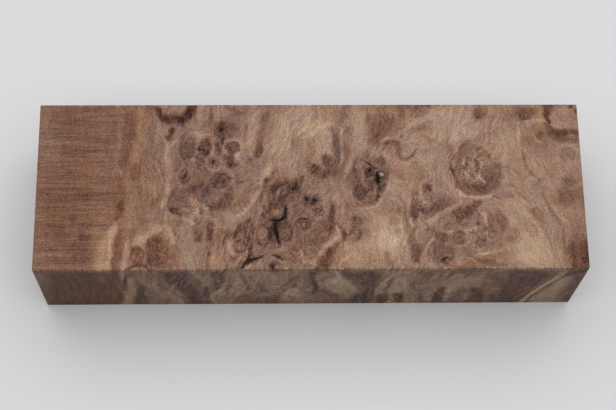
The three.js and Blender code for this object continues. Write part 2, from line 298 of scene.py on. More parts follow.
    (0.7, 0.2, 0.6, [(20.6, -15.6, 0.2), (20.4, -18, 0.3), (20.7, -21, 0.3)]),
    (0.74, 0.25, 0.85, [(23.3, -8.6, 0.15), (23.6, -10, 0.3), (24.1, -11.6, 0.2)]),
    (0.42, 0.8, 0.8, [(23.9, -10.8, 0.2), (24.1, -12.4, 0.35), (23.6, -14.6, 0.3), (22.9, -16, 0.2)]),
    # towards the round eye
    (0.66, 0, 0.8, [(23.5, 15.6, 0.3), (26.5, 16.6, 0.7), (30, 17.9, 0.8), (33.5, 19.6, 0.7)]),
    (0.56, 0.8, 0.8, [(25.2, 12.9, 0.3), (27.6, 12.6, 0.6), (29.3, 11.4, 0.5), (30.6, 10.6, 0.2)]),
    (0.68, 0.3, 0.7, [(25.2, 13.6, 0.2), (27.8, 13.4, 0.3), (30.2, 12.2, 0.3)]),
    (0.49, 0.75, 0.7, [(24.4, 5.4, 0.4), (25.9, 4, 0.8), (26.4, 2, 0.4)]),
    (0.63, -0.1, 0.85, [(23.9, -12.6, 0.4), (26.8, -10.2, 0.5), (30.5, -7.6, 0.7), (34.2, -5.4, 0.6),
        (36, -4, 0.3)]),
    (0.64, 0.1, 0.7, [(26.5, 1, 0.2), (28.4, 0.3, 0.4), (30.4, -1, 0.3)]),
    (0.64, 0, 0.7, [(24.8, -3.8, 0.1), (26.6, -4.6, 0.3), (28.9, -5.1, 0.2)]),
    (0.66, 0, 0.75, [(25.4, -7.8, 0.2), (25.3, -9, 0.35), (26.6, -9.7, 0.3), (28.2, -8.6, 0.25)]),
    (0.56, 0.1, 0.6, [(26.2, -20.6, 0.3), (26.9, -18, 0.5), (26.6, -16.2, 0.3)]),
    (0.58, -0.05, 0.6, [(34.9, -11, 0.2), (36.4, -12.4, 0.3), (36.6, -14.4, 0.2)]),
    # the round eye and what lies under it
    (0.36, 0.15, 0.8, [(35.6, 8.2, 0.5), (36.9, 10.2, 0.7), (38.2, 11.4, 0.4)]),
    (0.5, 0.1, 0.7, [(38.6, 10.9, 0.6), (41, 12.2, 0.8), (43.8, 13.6, 0.6)]),
    (0.49, 0.6, 0.7, [(33.2, 10.2, 0.6), (33.6, 8, 0.8), (34, 6.4, 0.4)]),
    (0.48, 0.05, 0.7, [(42.8, -3.4, 0.4), (45.4, -2.2, 0.9), (47.4, -2.8, 0.6)]),
    (0.31, 0.15, 0.95, [(40.2, -4.3, 0.5), (38.2, -5.6, 1.1), (36.4, -7.4, 1.2), (35, -9.3, 0.6)]),
    (0.66, 0.05, 0.7, [(40.6, -7.2, 0.3), (41.2, -8.7, 0.5), (40.9, -10.2, 0.3)]),
    (0.66, 0.1, 0.8, [(35.2, -10.2, 0.2), (36, -9.2, 0.35), (37.4, -9, 0.2)]),
    (0.75, 0.1, 0.9, [(36.1, -11.6, 0.15), (37.5, -11.3, 0.3), (39, -10.7, 0.15)]),
    (0.37, 0.2, 0.8, [(35.6, -16.2, 0.3), (37.4, -16.5, 0.45), (38.6, -17.3, 0.2)]),
    (0.36, 0.4, 0.6, [(34.2, -20.6, 0.3), (36.6, -20.9, 0.5), (38.6, -20.2, 0.3)]),
    (0.6, 0.5, 0.6, [(37.2, -19.2, 0.3), (39.2, -19.9, 0.4), (41, -20.8, 0.3)]),
    # the right end
    (0.72, 0.2, 0.7, [(58, 15.4, 0.15), (59.2, 15.2, 0.25), (60.6, 14.9, 0.15)]),
    (0.5, 0.15, 0.6, [(59.2, 19.6, 0.1), (60.4, 17.6, 0.2), (62.4, 15.7, 0.1)]),
    (0.4, 0.2, 0.8, [(58.3, 12.6, 0.5), (60, 11.6, 0.8), (64.8, 11.6, 0.7)]),
    (0.64, 0.1, 0.6, [(56.6, -4.4, 0.3), (58.6, -7.6, 0.4), (59.2, -10.4, 0.3)]),
    (0.48, 0.5, 0.7, [(59.2, 5.6, 0.2), (61.4, 3.2, 0.3), (63.6, 1.7, 0.3), (65.5, 0.9, 0.3)]),
    (0.4, 0.5, 0.8, [(59.2, -18.6, 0.3), (60.4, -19.4, 0.5), (61.4, -20.8, 0.5)]),
    (0.66, 0.15, 0.7, [(58.6, -19.4, 0.3), (59.3, -16.4, 0.3), (59.3, -12.5, 0.3)]),
    (0.3, 0.5, 0.85, [(5, -5.4, 0.4), (4.8, -7.4, 0.8), (4.6, -9.6, 0.8), (4.3, -12.2, 0.3)]),
    (0.33, 0.75, 0.9, [(1.9, -21.5, 1.5), (3.3, -18.8, 1.5), (4.9, -16.2, 1), (6.2, -14.6, 0.3)]),
    (0.76, 0.55, 0.85, [(-2.8, 13.4, 0.4), (-0.5, 14.6, 0.9), (2.2, 15, 0.8), (4.6, 15.6, 0.3)]),
    (0.72, 0.4, 0.6, [(-1.8, 12.2, 0.3), (0.2, 13.3, 0.6), (3.4, 13.7, 0.5)]),
    (0.34, -0.6, 0.95, [(5.9, 14, 0.9), (6, 11, 1), (6.3, 8.6, 1), (6.1, 6.4, 0.8), (5.8, 5, 0.6)]),
    (0.68, 0.1, 0.7, [(4.6, 14, 0.3), (4.4, 10.5, 0.3), (4.2, 8, 0.2)]),
    (0.41, 0.1, 0.9, [(9, 14.8, 0.8), (8.9, 11.5, 1.1), (8.6, 8.6, 0.8), (8.1, 6, 0.6), (7.7, 4.4, 0.3)]),
    (0.66, 0, 0.7, [(10.5, 14.5, 0.3), (10.4, 11.5, 0.3), (10.1, 8.5, 0.3)]),
    (0.45, 0.3, 0.85, [(9.5, 21, 0.6), (8.3, 18.2, 0.6), (7.2, 15.4, 0.4)]),
    (0.46, 0.3, 0.8, [(5, 20.8, 0.4), (6.1, 18, 0.5), (6.9, 15.4, 0.4)]),
    (0.24, 0.2, 0.85, [(-6.6, -0.4, 0.2), (-7.4, -2.6, 0.4), (-7, -4.3, 0.5), (-6.4, -5.4, 0.2)]),
    (0.36, 0.25, 0.8, [(-6.4, 2.2, 0.3), (-5.8, 0.4, 0.7), (-5.2, -1.6, 0.4)]),
    (0.52, 0.1, 0.6, [(-4.1, 3.2, 0.3), (-4.3, 1.6, 0.3)]),
    (0.66, 0.1, 0.8, [(0.9, 5.8, 0.15), (1.6, 4.7, 0.25), (2.6, 4.3, 0.2), (3.4, 3, 0.15)]),
    (0.62, 0, 0.7, [(4.4, 5.4, 0.12), (4.1, 4.2, 0.2), (4.2, 2.8, 0.15)]),
    (0.52, 0.1, 0.6, [(-12.9, -8.4, 0.2), (-12.6, -10.6, 0.3), (-13.3, -13.6, 0.3), (-12.8, -15.6, 0.2)]),
    (0.6, -0.05, 0.7, [(-24.3, -2.2, 0.2), (-22.6, -2.9, 0.4), (-21.2, -4, 0.2)]),
    (0.25, 0.45, 0.9, [(-21.9, 12.8, 0.4), (-21, 11.8, 0.7), (-20.8, 10.6, 0.4)]),
    (0.32, 0.4, 0.8, [(-22.2, 10.8, 0.3), (-21.8, 9.4, 0.6), (-21.6, 7.9, 0.3)]),
    (0.6, -0.1, 0.6, [(-18.3, 13.4, 0.2), (-17.9, 12, 0.4), (-16.8, 10.6, 0.3)]),
    (0.58, -0.1, 0.6, [(-27.6, 8.4, 0.15), (-28, 6.8, 0.25), (-27.7, 5, 0.2), (-28.4, 3.6, 0.2)]),
    (0.58, -0.1, 0.6, [(-25, 6.8, 0.2), (-24.6, 5.2, 0.25), (-23.6, 3.9, 0.25), (-22, 4.2, 0.2)]),
    (0.3, 0.3, 0.8, [(-18.6, -13.4, 0.4), (-17.4, -11.6, 0.9), (-16.9, -9.8, 0.6)]),
    (0.66, 0.75, 0.8, [(-19, -13.2, 0.3), (-18.9, -15.2, 0.5), (-18.3, -17, 0.3)]),
    (0.3, 0.2, 0.7, [(-16, -17.4, 0.2), (-16.8, -19, 0.3), (-17.9, -20.8, 0.3)]),
    (0.64, 0.1, 0.7, [(-14.2, -16.2, 0.15), (-15.6, -17.2, 0.2), (-17.2, -18.2, 0.15)]),
    (0.62, 0.1, 0.7, [(-13.4, -18.9, 0.15), (-14.6, -19.8, 0.25), (-15.2, -21.2, 0.2)]),
    (0.33, 0.25, 0.9, [(-19.5, -0.6, 0.7), (-19.8, -2.8, 1.2), (-21, -4.7, 1.3), (-23.6, -5.7, 0.9)]),
    (0.36, 0.3, 0.7, [(17.4, 19.5, 0.7), (17.1, 16.5, 1.6), (16.7, 13, 1.1), (16, 9.6, 0.5)]),
    (0.37, 0.1, 0.9, [(17.9, 10.4, 0.3), (19.2, 11.2, 0.5), (20.7, 10.8, 0.6), (21.1, 9.4, 0.7),
        (20.8, 8, 0.45), (21.6, 6.8, 0.35), (23, 6.6, 0.35), (24.2, 7.4, 0.4), (25.2, 9.3, 0.35)]),
    (0.4, 0.35, 0.9, [(23, 20.2, 0.9), (27, 20.6, 0.9), (31.5, 21.4, 0.6)]),
    (0.58, -0.05, 0.8, [(12.3, 3.8, 0.15), (12.2, 1.2, 0.3), (13.3, -1.2, 0.3), (14.9, -3.4, 0.2)]),
    (0.6, 0, 0.7, [(11.4, 4.9, 0.15), (12.6, 5.6, 0.2), (13.4, 5, 0.15)]),
    (0.64, 0.2, 0.7, [(15.2, -0.9, 0.12), (15.4, -2.2, 0.2), (15.9, -3.2, 0.12)]),
    (0.74, 0.2, 0.9, [(30, -10.6, 0.1), (31.1, -11.5, 0.25), (32.5, -11.9, 0.25), (33.4, -11.2, 0.1)]),
    (0.7, 0.05, 0.9, [(25.9, -17.6, 0.2), (27, -15.6, 0.4), (28.9, -13.2, 0.2)]),
    (0.28, 0.2, 0.85, [(33.3, 6, 0.2), (33.6, 4.2, 0.45), (34.4, 2.2, 0.35), (34.8, -0.4, 0.3)]),
    (0.66, 0.3, 0.75, [(20.2, -9.6, 0.2), (21, -10.4, 0.3), (22.4, -9.8, 0.2)]),
    (0.56, 0.5, 0.7, [(19.4, -12.2, 0.2), (20.6, -11.4, 0.3), (22, -11.5, 0.2)]),
    (0.46, 0.2, 0.85, [(50.9, 16.2, 0.2), (50.9, 12, 0.3), (51.1, 7.5, 0.3), (51.9, 4.2, 0.3),
        (54.2, 1.6, 0.3), (54.9, 0.2, 0.2)]),
    (0.66, 0.1, 0.85, [(50.3, 16.2, 0.2), (50.2, 12, 0.3), (50.4, 7.5, 0.3), (51.1, 4.2, 0.2)]),
    (0.43, 0.3, 0.85, [(55.1, -1, 0.2), (55.4, -3.2, 0.3), (56.8, -6.6, 0.35), (58.9, -9.7, 0.3),
        (59.5, -12, 0.3), (59.2, -18.5, 0.3)]),
    (0.64, 0.1, 0.7, [(57.4, -5.8, 0.2), (59.4, -9, 0.3), (60.2, -12, 0.2)]),
    (0.68, 0.15, 0.7, [(49.4, -3.4, 0.3), (51.4, -7.4, 0.4), (53.6, -11.4, 0.5), (55.2, -15.4, 0.4),
        (55.8, -20, 0.3)]),
    (0.5, -0.1, 0.7, [(51, -4.4, 0.3), (52.4, -7.2, 0.3), (54.8, -11.6, 0.4), (56.2, -15.4, 0.3),
        (56.8, -20, 0.3)]),
    (0.45, 0.35, 0.85, [(52.7, -5.9, 0.6), (53.4, -7.4, 1.2), (54.6, -9.4, 0.6)]),
    (0.66, 0.1, 0.7, [(51.9, -5.6, 0.15), (52.8, -5, 0.25), (54.4, -4.8, 0.15)]),
    (0.7, 0.15, 0.85, [(50.4, 16, 0.15), (52.8, 16.8, 0.25), (56.2, 16.9, 0.25), (57.6, 16, 0.2),
        (58.6, 14.9, 0.2), (61, 14.5, 0.15)]),
    (0.27, 0.5, 0.95, [(58, 21.5, 1.6), (57.8, 19.6, 1.1), (57.4, 17.6, 0.5), (58, 16.2, 0.3)]),
    (0.31, 0.3, 0.9, [(57, 16, 0.4), (58.3, 14.2, 1.1), (60.2, 13.3, 1.1), (62.6, 13.8, 0.7),
        (65.5, 13.5, 0.8)]),
    (0.37, 0.15, 0.95, [(35.2, 0.9, 0.6), (36.6, -0.6, 1.2), (39.2, -1.2, 1.3), (42, -0.6, 1.4),
        (43.8, 1.6, 1.6), (44.6, 4, 1), (44, 5.6, 0.4)]),
    (0.69, 0.15, 0.9, [(34.6, -1.2, 0.3), (36.3, -2.7, 0.4), (39.4, -3, 0.35), (41.6, -2.8, 0.3),
        (43.2, -2.3, 0.2)]),
    (0.67, 0.1, 0.8, [(38.6, -17.7, 0.2), (41.6, -17.2, 0.3), (43.8, -16.6, 0.3), (46.4, -15.6, 0.2)]),
    (0.38, 0.5, 0.7, [(36, -20.2, 0.4), (38.5, -19, 0.5), (41.5, -19.4, 0.6), (45.5, -20.2, 0.4)]),
    (0.41, 0.9, 0.6, [(-45.4, 2.6, 0.4), (-45.2, -1, 1.2), (-45.3, -4, 1.3)]),
    (0.28, 0.5, 0.85, [(-43.2, -20.8, 0.3), (-41.2, -19.8, 0.35), (-39.2, -19.9, 0.35),
        (-37.6, -20.9, 0.25)]),
    (0.56, 0.3, 0.7, [(-42, -20.9, 0.3), (-40.4, -20.5, 0.3), (-38.6, -20.9, 0.3)]),
    (0.46, 0.5, 0.7, [(-41.2, 12.4, 0.3), (-39.8, 9.6, 0.5), (-38.2, 7.8, 0.3)]),
    (0.46, 0.6, 0.7, [(-41.6, -5.6, 0.4), (-40.6, -7.8, 0.7), (-39.6, -9.4, 0.4)]),
    (0.36, 0.7, 0.7, [(-38.2, -13, 0.3), (-38.3, -16, 0.5), (-37.6, -19, 0.5)]),
    (0.5, 0.8, 0.6, [(-36.9, -16.2, 0.3), (-36, -18.4, 0.4), (-35.6, -20.4, 0.4)]),
    (0.31, 0.85, 0.95, [(-44.9, -3.8, 0.3), (-45.2, -5.6, 0.9), (-45.5, -7.2, 0.9), (-45.9, -8.6, 0.3)]),
    (0.39, 0.25, 0.85, [(-43.6, 18, 0.8), (-43.5, 14, 1.2), (-43.8, 10, 0.8), (-44.6, 6.6, 1),
        (-45, 4.6, 0.5)]),
    (0.5, 0.05, 0.6, [(38.6, 8.4, 0.8), (38.2, 5.4, 1.3), (38.4, 2, 1.2), (39.6, 0.6, 0.7)]),
    (0.63, 0.1, 0.95, [(39, 8.6, 0.2), (39.6, 7.9, 0.35), (38.8, 7.3, 0.3), (38, 7.9, 0.2)]),
    (0.63, 0.1, 0.95, [(36.5, 7.2, 0.25), (36.9, 6.2, 0.35), (36, 5.5, 0.3)]),
    (0.64, 0.1, 0.95, [(37.6, 6.4, 0.25), (38.3, 5.6, 0.4), (39, 5, 0.35), (38.6, 4.3, 0.25)]),
    (0.63, 0.1, 0.95, [(37.2, 4.6, 0.25), (38, 3.7, 0.4), (38.7, 3.5, 0.3)]),
    (0.63, 0.05, 0.95, [(36.6, 3.2, 0.25), (37.3, 2.6, 0.4), (37.6, 1.8, 0.3), (38.4, 1.5, 0.25)]),
    (0.64, 0.1, 0.95, [(39.2, 3.2, 0.25), (39.7, 2.4, 0.35), (40.4, 2.6, 0.25)]),
    (0.63, 0.1, 0.95, [(39, 1.2, 0.25), (40.2, 1.6, 0.35), (41, 1, 0.35), (41.3, 0.3, 0.2)]),
    (0.68, 0.1, 0.9, [(40.4, 6.2, 0.2), (41, 5.2, 0.3), (40.6, 4.2, 0.25)]),
    (0.3, 0.1, 0.85, [(37.6, 7, 0.2), (37.3, 5.6, 0.3), (36.8, 4.6, 0.2)]),
    (0.3, 0.1, 0.85, [(39.6, 6.4, 0.2), (40, 5.4, 0.3), (39.9, 4.2, 0.25), (39.4, 3.8, 0.2)]),
    (0.3, 0.1, 0.85, [(38.2, 2.6, 0.2), (39, 2.1, 0.3), (38.9, 1.6, 0.2)]),
    (0.36, 0.1, 0.8, [(38.6, 10.3, 0.25), (41, 9.6, 0.3), (42.8, 7.8, 0.3), (43.5, 5.6, 0.3)]),
    (0.66, 0.1, 0.7, [(39.2, 10.9, 0.2), (41.6, 10.2, 0.3), (43.4, 8.2, 0.3)]),
    (0.33, 0.2, 0.85, [(-8, 1.4, 0.4), (-9.2, -1, 0.8), (-10.2, -3.2, 0.6), (-11.2, -5.8, 0.4)]),
    # brown and bark beside the pockets
    (0.34, 0.2, 0.45, [(-8.6, 4, 0.15), (-9.6, 2, 0.35), (-10.6, -0.4, 0.45), (-12, -3, 0.4),
        (-13, -4.4, 0.15)]),
    (0.26, 0.1, 0.5, [(-7.6, 0.6, 0.3), (-8.6, -0.6, 0.5), (-9, -2.4, 0.4), (-9.2, -4.6, 0.2)]),
    (0.62, 0, 0.75, [(-7.6, -1.5, 0.2), (-8, -3, 0.45), (-8.3, -4.4, 0.2)]),
    (0.2, 0, 0.8, [(-7.4, -4.6, 0.2), (-6.8, -3.6, 0.4), (-6, -2.6, 0.35), (-5.4, -1.8, 0.2)]),
    (0.12, 0, 0.8, [(-6.1, -5.2, 0.2), (-6.4, -6.6, 0.35), (-6.7, -8, 0.35), (-8.2, -8.9, 0.3),
        (-10.2, -8.8, 0.2)]),
    (0.12, 0, 0.8, [(-8.4, -9.4, 0.25), (-8.6, -10.8, 0.45), (-8.3, -12.2, 0.4), (-8, -13.8, 0.25),
        (-7.6, -15.2, 0.15)]),
    (0.15, 0, 0.8, [(-16.6, -20.3, 0.35), (-15.5, -19.3, 0.45), (-13.8, -18.6, 0.25), (-12.2, -18, 0.15)]),
    (0.18, 0.1, 0.8, [(-14.7, -13.6, 0.15), (-14.5, -15.2, 0.35), (-14.7, -17, 0.3), (-15, -18.2, 0.2)]),
    (0.14, 0, 0.8, [(-5.6, 0.6, 0.3), (-5, -0.6, 0.5), (-4.4, -1.6, 0.4)]),
    (0.2, 0.1, 0.75, [(-3.6, 1.6, 0.3), (-3.6, -0.2, 0.5), (-4, -1.2, 0.4)]),
    # soft shades over the others
    (0.3, 0.1, 0.4, [(-11, -9.2, 0.8), (-8, -6, 1.2), (-4.4, -2.8, 1.3), (-2.6, -1, 0.8)]),
    (0.34, 0.1, 0.4, [(-1.6, -4.4, 1), (-1.4, -7.4, 1.2)]),
    (0.34, 0.1, 0.4, [(0.4, -14.2, 1.2), (-0.4, -17.4, 1.4)]),
    (0.36, 0.2, 0.3, [(-38.4, 19, 1.2), (-38, 10, 1.6), (-38, 2, 1.6)]),
    (0.36, 0.3, 0.3, [(-46.2, 18, 1), (-46, 11, 1.2)]),
    (0.38, 0.3, 0.3, [(-43.2, -2, 1), (-43, -8, 1.2)]),
    (0.34, 0.1, 0.4, [(-29.4, -6, 1.4), (-27, -4, 1.4)]),
    (0.34, 0.1, 0.4, [(-23.6, -2.6, 1), (-22, -1, 1)]),
    (0.36, 0.1, 0.35, [(-18, -6, 1.2), (-15.6, -4, 1)]),
    (0.34, 0.1, 0.4, [(10, -5.4, 1.2), (13, -3.4, 1.2)]),
    (0.36, 0.1, 0.4, [(14.4, 11.4, 1.1), (16.6, 10.8, 1.1)]),
    (0.36, 0.1, 0.4, [(0.3, 11.4, 0.9), (0.4, 8.6, 0.9)]),
    (0.34, 0.1, 0.4, [(22.8, -10.6, 1.1), (23.2, -14, 1.1)]),
    (0.34, 0.1, 0.4, [(26.6, -14, 1), (26.6, -17.4, 1.1)]),
    (0.36, 0.1, 0.35, [(28, -11.2, 1), (33.6, -10.2, 1.2), (38.2, -8.4, 1.2)]),
    (0.36, 0.1, 0.4, [(35.4, -14.6, 1.1), (37, -17, 1.1)]),
    (0.36, 0.1, 0.4, [(18, -17.4, 1), (19, -20.6, 1.2)]),
    (0.36, 0, 0.35, [(8, 2.4, 1.1), (9, 0.6, 1.1)]),
    (0.36, 0.1, 0.35, [(35.2, 7, 1), (35.4, 5, 1)]),
    (0.34, 0.1, 0.35, [(-22.6, -13, 1.2), (-22.4, -16, 1.2)]),
    (0.36, 0.2, 0.35, [(-41.6, -12.2, 0.9), (-38.4, -10.8, 0.9)]),
    (0.64, 0.2, 0.4, [(13, 20.8, 1.6), (17, 19.6, 1.8), (20, 18.6, 1.4)]),
    (0.64, 0.2, 0.35, [(24, 19, 1.4), (25, 16, 1.2)]),
    (0.64, 0.2, 0.45, [(8.9, 16.4, 1), (8.8, 13.6, 1.2), (9.6, 10.4, 1)]),
    (0.62, 0.2, 0.4, [(5, 20.6, 1.4), (5.6, 14.2, 1.3)]),
    (0.6, 0.1, 0.4, [(-26.4, 11.6, 1), (-24.4, 12.8, 1)]),
    (0.6, 0.1, 0.4, [(-35.4, 14.4, 1), (-35, 12, 1)]),
    (0.56, 0.1, 0.35, [(-19.8, 5.6, 1.1), (-17.6, 6.2, 1.1)]),
    (0.6, 0.1, 0.3, [(-33.2, 5, 1), (-32.8, 2.4, 1)]),
    (0.54, 0.1, 0.35, [(0.2, 3.6, 1.2), (1.4, 1.2, 1.2)]),
    (0.56, 0.1, 0.4, [(-9.4, 2.4, 1), (-10.2, -1, 1.2), (-10.8, -4, 1)]),
    (0.62, 0.1, 0.35, [(25.4, 6.4, 1), (27.6, 4.8, 1)]),
    (0.64, 0.1, 0.4, [(41.4, 9.4, 1.1), (43.4, 5.8, 1.1)]),
    (0.6, 0.1, 0.35, [(24.6, -0.6, 0.9), (24.4, -2.4, 0.9)]),
    (0.6, 0.1, 0.35, [(29.6, -0.8, 1.1), (32.6, -3, 1.2), (35.4, -4.4, 1)]),
    (0.56, 0.4, 0.4, [(-39.4, -14.6, 1.2), (-38.4, -17.4, 1.4)]),
    (0.5, 0.4, 0.4, [(-57, -9.6, 1.4), (-56, -12, 1.4)]),
    (0.64, 0.1, 0.4, [(61.6, -6.6, 1.4), (65, -8.2, 1.6)]),
    (0.64, 0.1, 0.4, [(52, 14.2, 1.6), (53.8, 11.6, 1.4)]),
    (0.62, 0.1, 0.35, [(12, -13, 1.4), (12.4, -18, 1.8)]),
    (0.66, 0.3, 0.4, [(15, -8.4, 1), (21, -7.6, 1.1)]),
    (0.5, 0.3, 0.4, [(-46.4, -6.4, 1), (-45.6, -8.6, 1)]),
]

